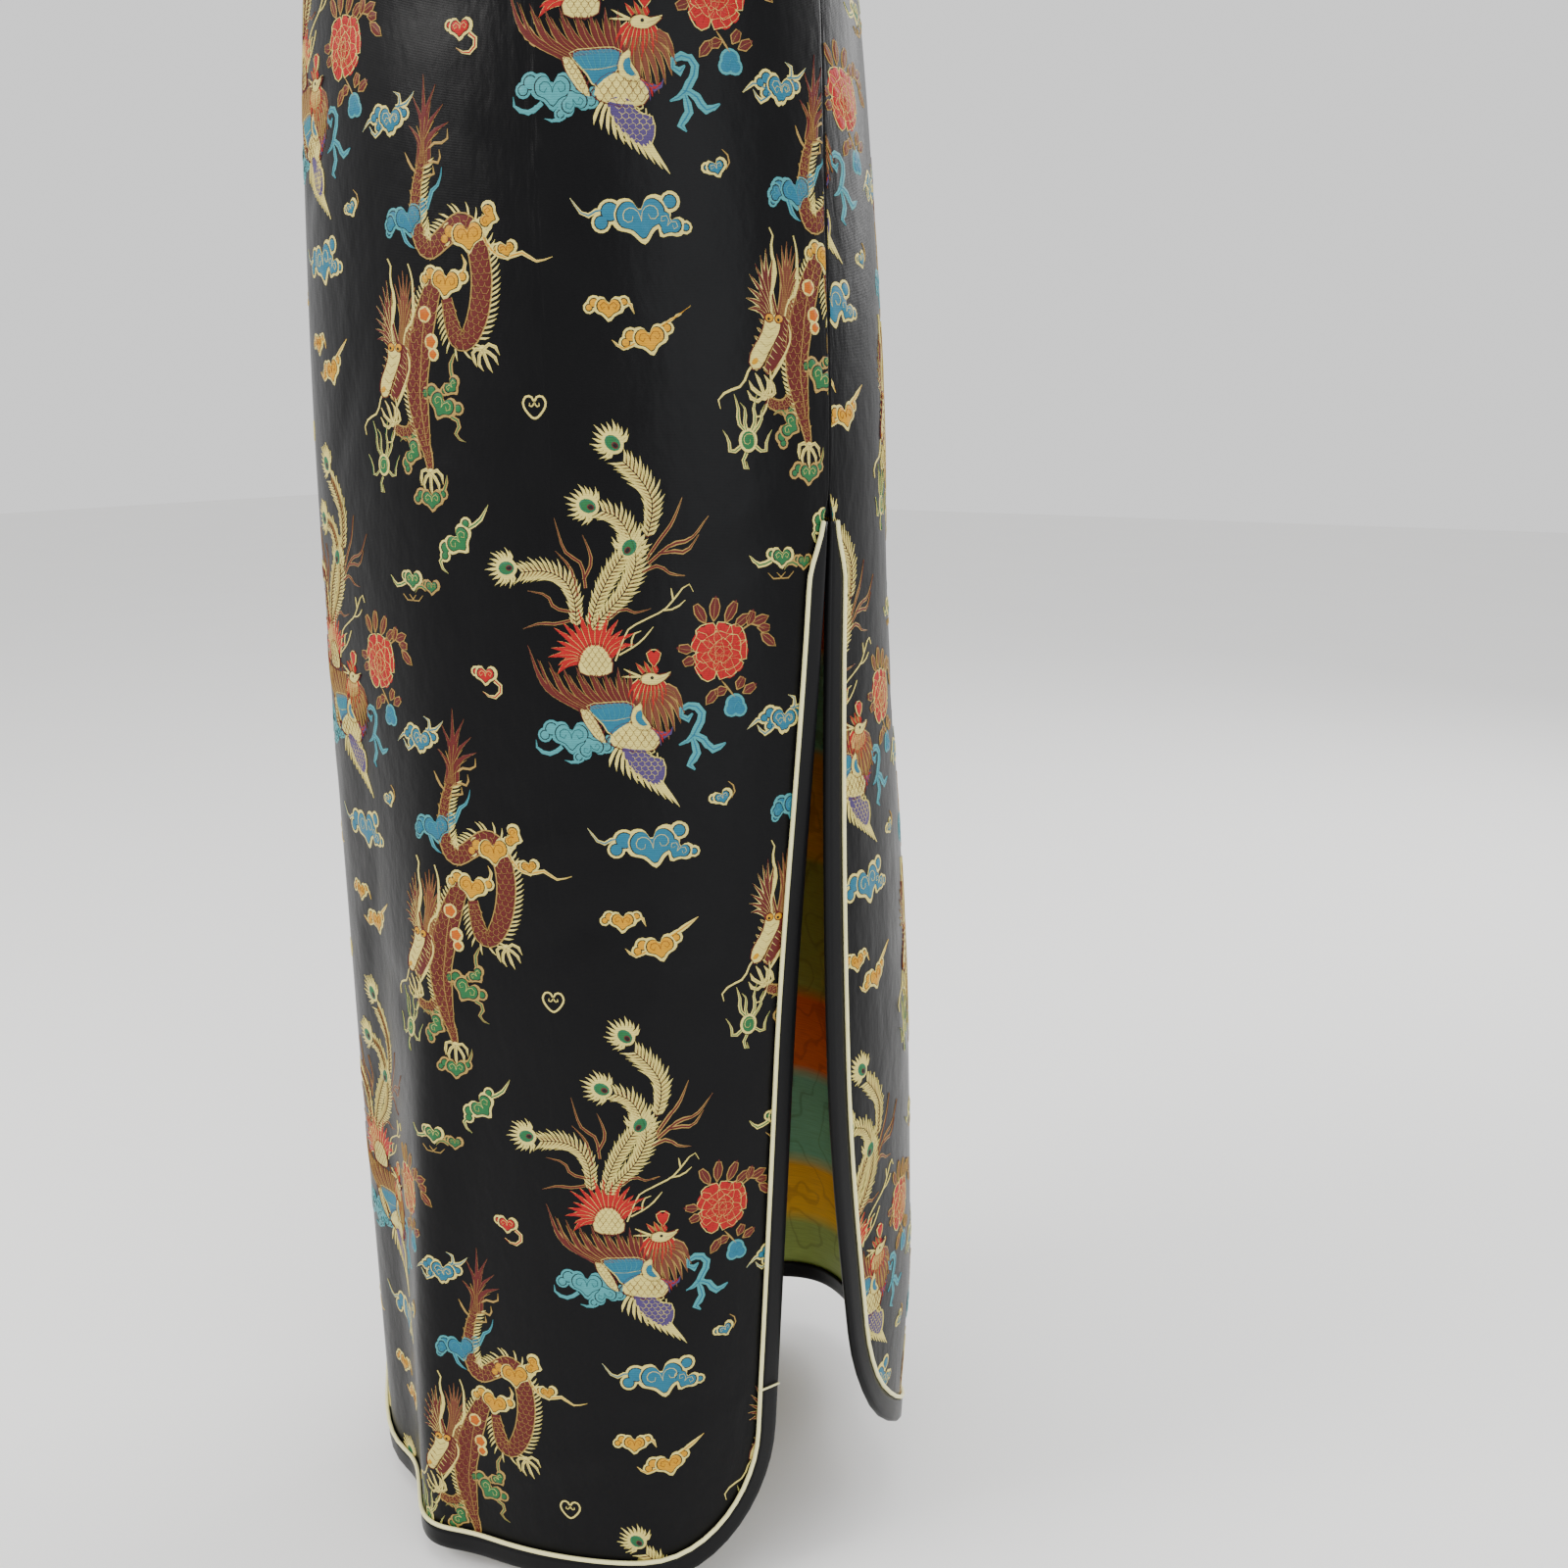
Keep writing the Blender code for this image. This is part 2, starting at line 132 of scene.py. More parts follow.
@dataclass
class DressForm:
    """The sheet that every cloth piece lies on, worked out from the same sizes as the solids."""

    front_hem: float = -1.338
    back_hem: float = -1.312
    slit_top: float = -0.730
    underarm: float = -0.185
    front_corner: float = 0.080
    back_corner: float = 0.112
    shoulder_roll: float = 0.115
    shoulder_drop: float = 0.040
    shoulder_tip: float = 0.170
    neck_half: float = 0.062
    front_neck_drop: float = 0.056
    back_neck_drop: float = 0.016
    seam_gap: float = 0.0003
    slit_recess: float = 0.0028
    slope_step: float = 0.0008
    sections: tuple = (
        Section(-1.345, 0.150, 0.136, 0.182, 0.040, 71, 94),
        Section(-1.037, 0.162, 0.135, 0.176, 0.021, 73, 107),
        Section(-0.730, 0.168, 0.134, 0.155, 0.000, 80, 100),
        Section(-0.576, 0.161, 0.136, 0.139, 0.000, 82, 98),
        Section(-0.460, 0.151, 0.131, 0.120, 0.000, 85, 95),
        Section(-0.400, 0.136, 0.113, 0.102, 0.000, 87, 93),
        Section(-0.350, 0.129, 0.105, 0.094, 0.000, 89, 91),
        Section(-0.300, 0.134, 0.111, 0.096, 0.000, 90, 90),
        Section(-0.235, 0.145, 0.125, 0.098, 0.000, 90, 90),
        Section(-0.185, 0.150, 0.114, 0.098, 0.000, 89, 89),
        Section(-0.165, 0.153, 0.107, 0.098, 0.000, 74, 76),
        Section(-0.120, 0.163, 0.094, 0.096, 0.000, 64, 68),
        Section(-0.040, 0.186, 0.078, 0.088, 0.000, 66, 67),
        Section(0.000, 0.188, 0.072, 0.084, 0.000, 66, 67),
    )
    folds: tuple = (
        Fold(Side.FRONT, 1, -12, 8, 0.009, -0.64, 0.66),
        Fold(Side.FRONT, -24, -9, 12, -0.011, -0.62, 0.60),
        Fold(Side.FRONT, 40, 3, 16, 0.004, -0.80, 0.50),
        Fold(Side.BACK, -28, 2, 13, -0.012, -0.70, 0.50),
        Fold(Side.BACK, 5, -3, 12, 0.009, -0.66, 0.50),
        Fold(Side.BACK, 38, 4, 14, -0.010, -0.72, 0.50),
        Fold(Side.BACK, 48, 0, 24, -0.024, -1.19, 0.18),
    )
    creases: tuple = (
        Crease(Side.FRONT, 80, -945, 90, 9, 24, -0.9),
        Crease(Side.FRONT, 120, -985, 70, 8, 30, 0.8),
        Crease(Side.FRONT, 55, -905, 60, 7, 16, 0.7),
        Crease(Side.FRONT, 150, -760, 60, 7, 38, -0.8),
        Crease(Side.FRONT, 168, -735, 55, 6, 46, 0.8),
        Crease(Side.FRONT, 110, -1235, 80, 9, 14, -1.0),
        Crease(Side.FRONT, 70, -1262, 60, 8, 20, 0.9),
        Crease(Side.FRONT, 30, -500, 110, 15, 9, -1.3),
        Crease(Side.FRONT, 100, -540, 80, 13, -16, 1.1),
        Crease(Side.FRONT, 60, -575, 70, 9, -22, -1.2),
        Crease(Side.FRONT, -20, -730, 80, 11, 18, 1.2),
        Crease(Side.FRONT, 130, -640, 70, 10, 32, -1.2),
        Crease(Side.FRONT, -85, -560, 70, 9, 54, -1.2),
        Crease(Side.FRONT, -100, -860, 80, 10, 38, 1.2),
        Crease(Side.FRONT, -30, -1010, 80, 11, -24, -1.1),
        Crease(Side.FRONT, 90, -1130, 90, 10, -12, 1.1),
        Crease(Side.FRONT, -60, -690, 80, 9, 62, -0.9),
        Crease(Side.FRONT, -90, -960, 90, 9, 70, 0.9),
        Crease(Side.FRONT, -120, -780, 70, 8, 48, -0.9),
        Crease(Side.FRONT, -40, -1130, 90, 8, 82, -0.9),
        Crease(Side.FRONT, -20, -380, 90, 9, 12, -1.1),
        Crease(Side.FRONT, 60, -365, 80, 8, -14, -1.0),
        Crease(Side.FRONT, 110, -215, 60, 8, 40, -0.9),
        Crease(Side.FRONT, -95, -240, 60, 8, -36, -0.9),
        Crease(Side.BACK, -150, -560, 80, 9, -18, -0.9),
        Crease(Side.BACK, 120, -600, 90, 9, 20, -0.9),
        Crease(Side.BACK, 40, -420, 110, 9, 6, -1.2),
        Crease(Side.BACK, -60, -395, 90, 9, -9, -1.1),
        Crease(Side.BACK, 180, -860, 90, 9, 68, -1.0),
        Crease(Side.BACK, 225, -1040, 80, 8, 74, 0.9),
        Crease(Side.BACK, -120, -930, 110, 10, 72, -1.0),
        Crease(Side.BACK, 60, -1120, 90, 9, 80, -0.9),
        Crease(Side.BACK, -200, -1100, 80, 8, 66, 0.9),
        Crease(Side.BACK, 0, -760, 100, 9, 24, -0.9),
    )

    def column(self, name: str, height: Array) -> Array:
        """Read a column of the sections at any height, along a monotone cubic through the rows.

        Args:
            name: the column's name.
            height: heights in metres.

        Returns:
            The value at each height.
        """
        xs = np.array([row.height for row in self.sections])
        ys = np.array([getattr(row, name) for row in self.sections], dtype=float)
        step = np.diff(xs)
        slope = np.diff(ys) / step
        product = slope[:-1] * slope[1:]
        inner = np.where(product > 0, 2 * product / (slope[:-1] + slope[1:] + (product <= 0)), 0.0)
        tangent = np.concatenate([[slope[0]], inner, [slope[-1]]])
        height = np.clip(height, xs[0], xs[-1])
        k = np.clip(np.searchsorted(xs, height) - 1, 0, len(step) - 1)
        t = (height - xs[k]) / step[k]
        return ((1 + 2 * t) * (1 - t) ** 2 * ys[k] + t * (1 - t) ** 2 * step[k] * tangent[k]
                + t * t * (3 - 2 * t) * ys[k + 1] + t * t * (t - 1) * step[k] * tangent[k + 1])

    def edge_angle(self, side: Side, height: Array) -> Array:
        """Angle of a panel's side edge, drawn back a little along the bound slit.

        Args:
            side: which panel.
            height: heights in metres.

        Returns:
            The angle in radians at each height.
        """
        base = self.column("front_edge" if side is Side.FRONT else "back_edge", height)
        recess = self.slit_recess * smooth((self.slit_top - height) / 0.014) + self.seam_gap / 2
        return np.radians(base) - recess / self.column("half_width", height)

    def shoulder(self, share: Array, side: Side) -> tuple[Array, Array]:
        """Height of the shoulder line above a share of the width, and how far out that is.

        Args:
            share: places across the panel, -1 to 1 between its side edges.
            side: which panel.

        Returns:
            Heights in metres, and distances from the middle plane in metres.
        """
        out = np.abs(self.column("half_width", -0.02) * np.sin(share * self.edge_angle(side, -0.02)))
        slope = np.clip((out - self.neck_half) / (self.shoulder_tip - self.neck_half), 0.0, 1.2)
        return -self.shoulder_drop * slope, out

    def surface(self, side: Side, share: Array, height: Array, fine: bool = True) -> Array:
        """The sheet: an oval section rolled over to the shoulder line, pushed out by its folds and creases.

        Args:
            side: which panel.
            share: -1 to 1 across the panel.
            height: height in metres.
            fine: whether the short creases are added.

        Returns:
            Points, one for each share and height.
        """
        front = side is Side.FRONT
        angle = share * self.edge_angle(side, height)
        crown, _ = self.shoulder(share, side)
        roll = np.clip((crown - height) / self.shoulder_roll, 0.0, 1.0)
        roll = np.sqrt(np.clip(1.0 - (1.0 - roll) ** 2, 0.0, 1.0))
        half = self.column("half_width", height)
        near, far = ("front_depth", "back_depth") if front else ("back_depth", "front_depth")
        depth = np.where(np.cos(angle) >= 0, self.column(near, height), self.column(far, height))
        face = -1.0 if front else 1.0
        x, y = half * np.sin(angle), face * depth * np.cos(angle) * roll
        out_x, out_y = np.sin(angle) / half, face * np.cos(angle) / depth
        size = np.hypot(out_x, out_y)
        rise = np.zeros_like(x)
        for fold in self.folds:
            if fold.side is side:
                growth = smooth((fold.top - height) / fold.reach)
                middle = np.radians(fold.angle + fold.drift * growth)
                rise = rise + fold.rise * growth * np.exp(-((angle - middle) / math.radians(fold.width)) ** 2)
        if fine:
            across = angle * (half + depth) * 500.0
            for crease in self.creases:
                if crease.side is side:
                    turn = math.radians(crease.slant)
                    du, dv = across - crease.across, height * 1000.0 - crease.down
                    along = du * math.cos(turn) + dv * math.sin(turn)
                    over = -du * math.sin(turn) + dv * math.cos(turn)
                    soft = np.exp(-(along / (crease.length / 2)) ** 2 - (over / crease.width) ** 2)
                    rise = rise + crease.depth * MM * soft
        swing = 0.0 if front else self.column("back_swing", height)
        return np.stack([x + out_x / size * rise + swing,
                         y + out_y / size * rise + face * self.seam_gap * roll, height + 0.0 * x], axis=-1)

    def place(self, side: Side, share: Array, height: Array, lift: Array = 0.0) -> Array:
        """Points of a panel moved out along its normal, found from the slopes across and down.

        Args:
            side: which panel.
            share: -1 to 1 across.
            height: height in metres.
            lift: metres out from the wall's middle.

        Returns:
            The lifted points.
        """
        given = (np.asarray(value, dtype=float) for value in (share, height, lift))
        share, height, lift = np.broadcast_arrays(*given)
        spot = self.surface(side, share, height)
        step = self.slope_step
        across = self.surface(side, share + step, height) - self.surface(side, share - step, height)
        down = self.surface(side, share, height - step) - self.surface(side, share, height + step)
        normal = np.cross(down, across)
        normal /= np.linalg.norm(normal, axis=-1, keepdims=True)
        return spot + normal * lift[..., None] * (1.0 if side is Side.FRONT else -1.0)

    def neckline(self, share: Array, side: Side) -> Array:
        """Height of the neck edge, which dips in a curve between the two neck points.

        Args:
            share: places across the panel, -1 to 1 between its side edges.
            side: which panel.

        Returns:
            The height at each share.
        """
        _, out = self.shoulder(share, side)
        drop = self.front_neck_drop if side is Side.FRONT else self.back_neck_drop
        return -drop * np.clip(1.0 - (out / self.neck_half) ** 2.2, 0.0, 1.0)

    def panel_top(self, share: Array, side: Side) -> Array:
        """Top edge of a whole panel: the neck curve, then the shoulder line on both sides."""
        crown, out = self.shoulder(share, side)
        return np.where(out < self.neck_half, self.neckline(share, side), crown - 0.00002)

    def opening_edge(self, share: Array) -> Array:
        """Height of the slanting opening, from the neck's middle to the wearer's right underarm."""
        across = smooth(np.clip(-share, 0.0, 1.0)) * 0.55 + np.clip(-share, 0.0, 1.0) * 0.45
        return -self.front_neck_drop - (abs(self.underarm) - 0.004 - self.front_neck_drop) * across

    def top(self, side: Side, share: Array) -> Array:
        """Top edge of a panel as cut: the front's right half ends at the slanting opening."""
        whole = self.panel_top(share, side)
        return np.where(share < 0, self.opening_edge(share), whole) if side is Side.FRONT else whole

    def foot(self, side: Side) -> tuple[float, float, float]:
        """Height of a panel's hem, radius of its corners and half its width there.

        Args:
            side: which panel.

        Returns:
            The three sizes in metres.
        """
        front = side is Side.FRONT
        hem, corner = (self.front_hem, self.front_corner) if front else (self.back_hem, self.back_corner)
        return hem, corner, float(self.edge_angle(side, hem) * self.column("half_width", hem))

    def hem_edge(self, side: Side, share: Array) -> Array:
        """Height of the hem, with a round corner at each side.

        Args:
            side: which panel.
            share: places across the panel, -1 to 1 between its side edges.

        Returns:
            The height at each share.
        """
        hem, corner, whole = self.foot(side)
        inside = np.clip(np.abs(share) * whole - (whole - corner), 0.0, corner)
        return hem + corner - np.sqrt(np.clip(corner ** 2 - inside ** 2, 0.0, None))

    def travel(self, share: Array, height: Array, side: Side) -> Array:
        """Distance down the sheet from the shoulder line, round the roll of the shoulder.

        Args:
            share: places across the panel, -1 to 1 between its side edges.
            height: heights in metres.
            side: which panel.

        Returns:
            The distance in metres.
        """
        fall = (self.shoulder(share, side)[0] - height) / self.shoulder_roll
        turn = np.arccos(np.clip(1.0 - fall, 0.0, 1.0))
        return self.shoulder_roll * (turn + np.clip(fall - 1.0, 0.0, None))

    def height_at(self, share: Array, distance: Array, side: Side) -> Array:
        """Height reached after that distance down the sheet.

        Args:
            share: places across the panel, -1 to 1 between its side edges.
            distance: metres down the sheet.
            side: which panel.

        Returns:
            The height in metres.
        """
        turn = distance / self.shoulder_roll
        rolled = 1.0 - np.cos(np.clip(turn, 0, math.pi / 2))
        fall = np.where(turn < math.pi / 2, rolled, 1.0 + turn - math.pi / 2)
        return self.shoulder(share, side)[0] - fall * self.shoulder_roll


FORM = DressForm()


class Wire:
    """A value in a material's node tree; arithmetic on it adds Math nodes."""

    def __init__(self, shop: "Shop", socket: bpy.types.NodeSocket) -> None:
        """Hold the socket and the tree it belongs to."""
        self.shop, self.socket = shop, socket

    def _math(self, operation: str, first: object, second: object) -> "Wire":
        """Add one Math node on two values or wires."""
        return self.shop.node("ShaderNodeMath", {"operation": operation}, {0: first, 1: second})

    def __add__(self, other: object) -> "Wire":
        """Sum."""
        return self._math("ADD", self, other)

    def __radd__(self, other: object) -> "Wire":
        """Sum, with the number first."""
        return self._math("ADD", other, self)

    def __sub__(self, other: object) -> "Wire":
        """Difference."""
        return self._math("SUBTRACT", self, other)

    def __rsub__(self, other: object) -> "Wire":
        """Difference, with the number first."""
        return self._math("SUBTRACT", other, self)

    def __mul__(self, other: object) -> "Wire":
        """Product."""
        return self._math("MULTIPLY", self, other)

    def __rmul__(self, other: object) -> "Wire":
        """Product, with the number first."""
        return self._math("MULTIPLY", other, self)

    def power(self, other: object) -> "Wire":
        """This value raised to a power."""
        return self._math("POWER", self, other)

    def sine(self) -> "Wire":
        """Sine of this value."""
        return self._math("SINE", self, 0.0)


class Shop:
    """Builds one material; every node goes through the one method `node`."""

    def __init__(self, name: str) -> None:
        """Start an empty tree.

        Args:
            name: the material's name.
        """
        self.material = bpy.data.materials.new(name)
        self.material.use_nodes = True
        self.tree = self.material.node_tree
        self.tree.nodes.clear()

    def node(self, kind: str, settings: Optional[dict] = None, inputs: Optional[dict] = None,
             output: object = 0) -> Wire:
        """Add a node: settings first, then socket values or links.

        Args:
            kind: Blender's node type.
            settings: attributes; "stops" fills a colour ramp with (place, colour) pairs.
            inputs: values or wires by socket name or index.
            output: the output socket to return.

        Returns:
            The chosen output as a wire.
        """
        made = self.tree.nodes.new(kind)
        for key, value in (settings or {}).items():
            if key == "stops":
                ramp = made.color_ramp
                while len(ramp.elements) < len(value):
                    ramp.elements.new(1.0)
                for element, (place, colour) in zip(ramp.elements, value):
                    element.position, element.color = place, (*colour, 1.0)
            else:
                setattr(made, key, value)
        for key, value in (inputs or {}).items():
            if isinstance(value, Wire):
                self.tree.links.new(value.socket, made.inputs[key])
            else:
                made.inputs[key].default_value = value
        return Wire(self, made.outputs[output])

    def mix(self, amount: object, first: object, second: object, blend: str = "MIX") -> Wire:
        """Mix two colours by an amount.

        Args:
            amount: share of the second colour.
            first: a colour or wire.
            second: a colour or wire.
            blend: Blender's blend type.

        Returns:
            The mixed colour.
        """
        first, second = ((*v, 1.0) if isinstance(v, tuple) and len(v) == 3 else v for v in (first, second))
        settings = {"data_type": "RGBA", "blend_type": blend}
        return self.node("ShaderNodeMix", settings, {0: amount, 6: first, 7: second}, output=2)

    def place(self, scale: Sequence[float] = (1, 1, 1), uv: bool = True) -> Wire:
        """Coordinates in metres: the cloth's own flat ones from its UV map, or the object's.

        Args:
            scale: factor for each axis.
            uv: whether the UV map is read.

        Returns:
            The coordinates.
        """
        where = (self.node("ShaderNodeUVMap", {"uv_map": CLOTH_MAP}) if uv
                 else self.node("ShaderNodeTexCoord", output="Object"))
        return self.node("ShaderNodeMapping", {}, {"Vector": where, "Scale": tuple(scale)})

    def noise(self, where: Wire, scale: float, detail: float = 2.0) -> Wire:
        """Smooth noise from 0 to 1."""
        return self.node("ShaderNodeTexNoise", {}, {"Vector": where, "Scale": scale, "Detail": detail})

    def split(self, vector: Wire, axis: str) -> Wire:
        """One part of a vector."""
        return self.node("ShaderNodeSeparateXYZ", {}, {0: vector}, output=axis)

    def bump(self, height: Wire, distance: float, strength: float, under: Optional[Wire] = None) -> Wire:
        """A normal from a height; distance is the real relief in metres.

        Args:
            height: the relief.
            distance: relief in metres.
            strength: its strength.
            under: a normal below it.

        Returns:
            The normal.
        """
        inputs = {"Height": height, "Distance": distance, "Strength": strength}
        if under is not None:
            inputs["Normal"] = under
        return self.node("ShaderNodeBump", {}, inputs)

    def finish(self, inputs: dict) -> bpy.types.Material:
        """Close the tree with a Principled shader.

        Args:
            inputs: the shader's values or wires by socket name.

        Returns:
            The finished material.
        """
        shader = self.node("ShaderNodeBsdfPrincipled", {}, inputs)
        out = self.tree.nodes.new("ShaderNodeOutputMaterial")
        self.tree.links.new(shader.socket, out.inputs["Surface"])
        return self.material


@dataclass(frozen=True)
class SatinFinish:
    """Black satin: faint ribs of warp, soft crinkle, slightly uneven gloss."""

    name: str
    colour: tuple = (0.0018, 0.0018, 0.0022)
    worn: tuple = (0.0042, 0.0042, 0.0048)
    roughness: float = 0.34
    rib: float = 0.0007
    rib_depth: float = 0.00004
    crinkle_depth: float = 0.0016
    specular: float = 0.10

    def material(self) -> bpy.types.Material:
        """Make the material.

        Returns:
            The material.
        """
        shop = Shop(self.name)
        flat = shop.place()
        cloud = shop.noise(flat, 26.0, 3.0)
        fleck = shop.noise(shop.place((400.0, 2200.0, 1.0)), 1.0, 1.0)
        colour = shop.mix(cloud * 0.55 + fleck * 0.25, self.colour, self.worn)
        ribs = (shop.split(flat, "Y") * (2 * math.pi / self.rib)).sine() * 0.5 + 0.5
        crinkle = shop.noise(shop.place((1.0, 0.55, 1.0)), 60.0, 3.0)
        soft = shop.bump(crinkle, self.crinkle_depth, 0.55)
        normal = shop.bump(ribs, self.rib_depth, 0.6, under=soft)
        rough = self.roughness + (cloud - 0.5) * 0.10 + (fleck - 0.5) * 0.14
        return shop.finish({"Base Color": colour, "Roughness": rough, "Normal": normal,
                            "Specular IOR Level": self.specular})


@dataclass(frozen=True)
class ReverseFinish:
    """The woven reverse: weft colours carried across in bands, streaked thread by thread."""

    name: str
    floor: float = -1.40
    reach: float = 1.45
    bands: tuple = (
        (0.000, (0.26, 0.35, 0.070)), (0.092, (0.30, 0.39, 0.079)), (0.095, (0.88, 0.47, 0.011)),
        (0.123, (0.88, 0.42, 0.011)), (0.126, (0.18, 0.46, 0.271)), (0.171, (0.21, 0.47, 0.298)),
        (0.174, (0.88, 0.15, 0.014)), (0.213, (0.81, 0.13, 0.014)), (0.216, (0.33, 0.33, 0.052)),
        (0.282, (0.35, 0.32, 0.049)), (0.286, (0.73, 0.32, 0.021)), (0.335, (0.63, 0.26, 0.021)),
        (0.339, (0.18, 0.42, 0.263)), (0.382, (0.21, 0.44, 0.280)), (0.386, (0.84, 0.14, 0.014)),
        (0.425, (0.77, 0.12, 0.014)), (0.429, (0.32, 0.32, 0.052)), (0.494, (0.32, 0.32, 0.052)),
        (0.498, (0.79, 0.35, 0.018)), (0.547, (0.70, 0.32, 0.018)), (0.551, (0.19, 0.44, 0.263)),
        (0.640, (0.79, 0.14, 0.014)), (0.750, (0.32, 0.32, 0.052)), (0.850, (0.70, 0.32, 0.018)),
        (1.000, (0.19, 0.44, 0.263)),
    )

    def material(self) -> bpy.types.Material:
        """Make the material.

        Returns:
            The material.
        """
        shop = Shop(self.name)
        flat = shop.place()
        rise = (shop.split(flat, "Y") - self.floor) * (1.0 / self.reach)
        wander = shop.noise(shop.place((6.0, 40.0, 1.0)), 1.0, 2.0)
        band = shop.node("ShaderNodeValToRGB", {"stops": self.bands}, {0: rise + (wander - 0.5) * 0.003})
        streak = shop.noise(shop.place((60.0, 1500.0, 1.0)), 1.0, 2.0)
        figure = shop.noise(shop.place((1.0, 0.8, 1.0)), 34.0, 1.5)
        near = ((figure - 0.5) * (figure - 0.5)) * 900.0
        line = shop.node("ShaderNodeMapRange", {"interpolation_type": "SMOOTHSTEP"},
                         {"Value": near, "From Min": 0.0, "From Max": 0.5, "To Min": 0.32, "To Max": 0.0})
        deep = shop.mix(1.0, band, (0.30, 0.24, 0.20), "MULTIPLY")
        woven = shop.mix(streak.power(2.0) * 0.8, band, deep)
        colour = shop.mix(line, woven, deep)
        normal = shop.bump(streak, 0.0002, 0.7)
        return shop.finish({"Base Color": colour, "Roughness": 0.45 + streak * 0.2, "Normal": normal,
                            "Specular IOR Level": 0.4})


@dataclass(frozen=True)
class ThreadFinish:
    """Woven silk figure thread: its colour, broken by the weave's fine steps."""

    name: str
    colour: tuple
    dark: float = 0.45
    pitch: float = 0.0011

    def material(self) -> bpy.types.Material:
        """Make the material.

        Returns:
            The material.
        """
        shop = Shop(self.name)
        where = shop.place(uv=False)
        weave = (shop.split(where, "Z") * (2 * math.pi / self.pitch)).sine() * 0.5 + 0.5
        speck = shop.noise(shop.place((300.0, 300.0, 900.0), uv=False), 1.0, 2.0)
        deep = tuple(self.dark * part for part in self.colour)
        colour = shop.mix(weave * 0.35 + speck * 0.45, self.colour, deep)
        return shop.finish({"Base Color": colour, "Roughness": 0.42 + speck * 0.2,
                            "Normal": shop.bump(weave, 0.00005, 0.5), "Specular IOR Level": 0.22})


@dataclass(frozen=True)
class CordFinish:
    """Bias satin rolled round a cord: slanting ribs and a little shade."""

    name: str
    colour: tuple
    dark: tuple
    roughness: float = 0.42
    rib: float = 0.0016

    def material(self) -> bpy.types.Material:
        """Make the material.

        Returns:
            The material.
        """
        shop = Shop(self.name)
        where = shop.place(uv=False)
        slant = shop.split(where, "Z") + shop.split(where, "X") * 0.7 + shop.split(where, "Y") * 0.7
        ribs = (slant * (2 * math.pi / self.rib)).sine() * 0.5 + 0.5
        mottle = shop.noise(where, 120.0, 3.0)
        colour = shop.mix(mottle * 0.6 + ribs * 0.25, self.colour, self.dark)
        return shop.finish({"Base Color": colour, "Roughness": self.roughness + (mottle - 0.5) * 0.2,
                            "Normal": shop.bump(ribs, 0.00008, 0.6), "Sheen Weight": 0.2,
                            "Sheen Roughness": 0.4})


@dataclass(frozen=True)
class PlainFinish:
    """A pale matt floor with a trace of mottle."""

    name: str
    colour: tuple

    def material(self) -> bpy.types.Material:
        """Make the material.

        Returns:
            The material.
        """
        shop = Shop(self.name)
        cloud = shop.noise(shop.place(uv=False), 3.0, 2.0)
        deep = tuple(0.97 * part for part in self.colour)
        return shop.finish({"Base Color": shop.mix(cloud, self.colour, deep), "Roughness": 0.9})


class Closet:
    """Makes each material once, by its finish."""

    def __init__(self) -> None:
        """Start with no materials."""
        self.made: dict = {}

    def get(self, finish: object) -> bpy.types.Material:
        """The material of a finish, made on first use.

        Args:
            finish: one of the finishes.

        Returns:
            The material.
        """
        if finish.name not in self.made:
            self.made[finish.name] = finish.material()
        return self.made[finish.name]


CLOSET = Closet()
SATIN = SatinFinish("black_satin")
EDGE_SATIN = SatinFinish("edge_satin", colour=(0.0035, 0.0035, 0.004), worn=(0.006, 0.006, 0.0065),
                         roughness=0.34, crinkle_depth=0.0004, specular=0.12)
REVERSE = ReverseFinish("reverse_weave")
PIPING_SATIN = CordFinish("piping_satin", (0.86, 0.82, 0.42), (0.66, 0.60, 0.24))
FROG_SATIN = CordFinish("frog_satin", (0.006, 0.006, 0.007), (0.016, 0.016, 0.018), roughness=0.34)


def mesh_piece(name: str, points: Array, faces: Array, materials: Sequence[object],
               uv: Optional[Array] = None, which: Optional[Array] = None) -> bpy.types.Object:
    """A mesh object from arrays.

    Args:
        name: the piece's name.
        points: vertices, one row each.
        faces: vertex numbers, quads or triangles, one row each.
        materials: finishes, in slot order.
        uv: flat cloth coordinates of each vertex.
        which: material slot of each face.

    Returns:
        The object, smooth shaded, in the scene.
    """
    mesh = bpy.data.meshes.new(name)
    sides = faces.shape[1]
    mesh.vertices.add(len(points))
    mesh.vertices.foreach_set("co", np.ascontiguousarray(points, dtype=np.float32).ravel())
    mesh.loops.add(faces.size)
    mesh.loops.foreach_set("vertex_index", np.ascontiguousarray(faces, dtype=np.int32).ravel())
    mesh.polygons.add(len(faces))
    mesh.polygons.foreach_set("loop_start", np.arange(0, faces.size, sides, dtype=np.int32))
    for finish in materials:
        mesh.materials.append(CLOSET.get(finish))
    if which is not None:
        mesh.polygons.foreach_set("material_index", which.astype(np.int32))
    mesh.update(calc_edges=True)
    mesh.polygons.foreach_set("use_smooth", np.ones(len(faces), dtype=bool))
    if uv is not None:
        layer = mesh.uv_layers.new(name=CLOTH_MAP)
        layer.data.foreach_set("uv", np.ascontiguousarray(uv[faces.ravel()], dtype=np.float32).ravel())
    made = bpy.data.objects.new(name, mesh)
    bpy.context.scene.collection.objects.link(made)
    return made


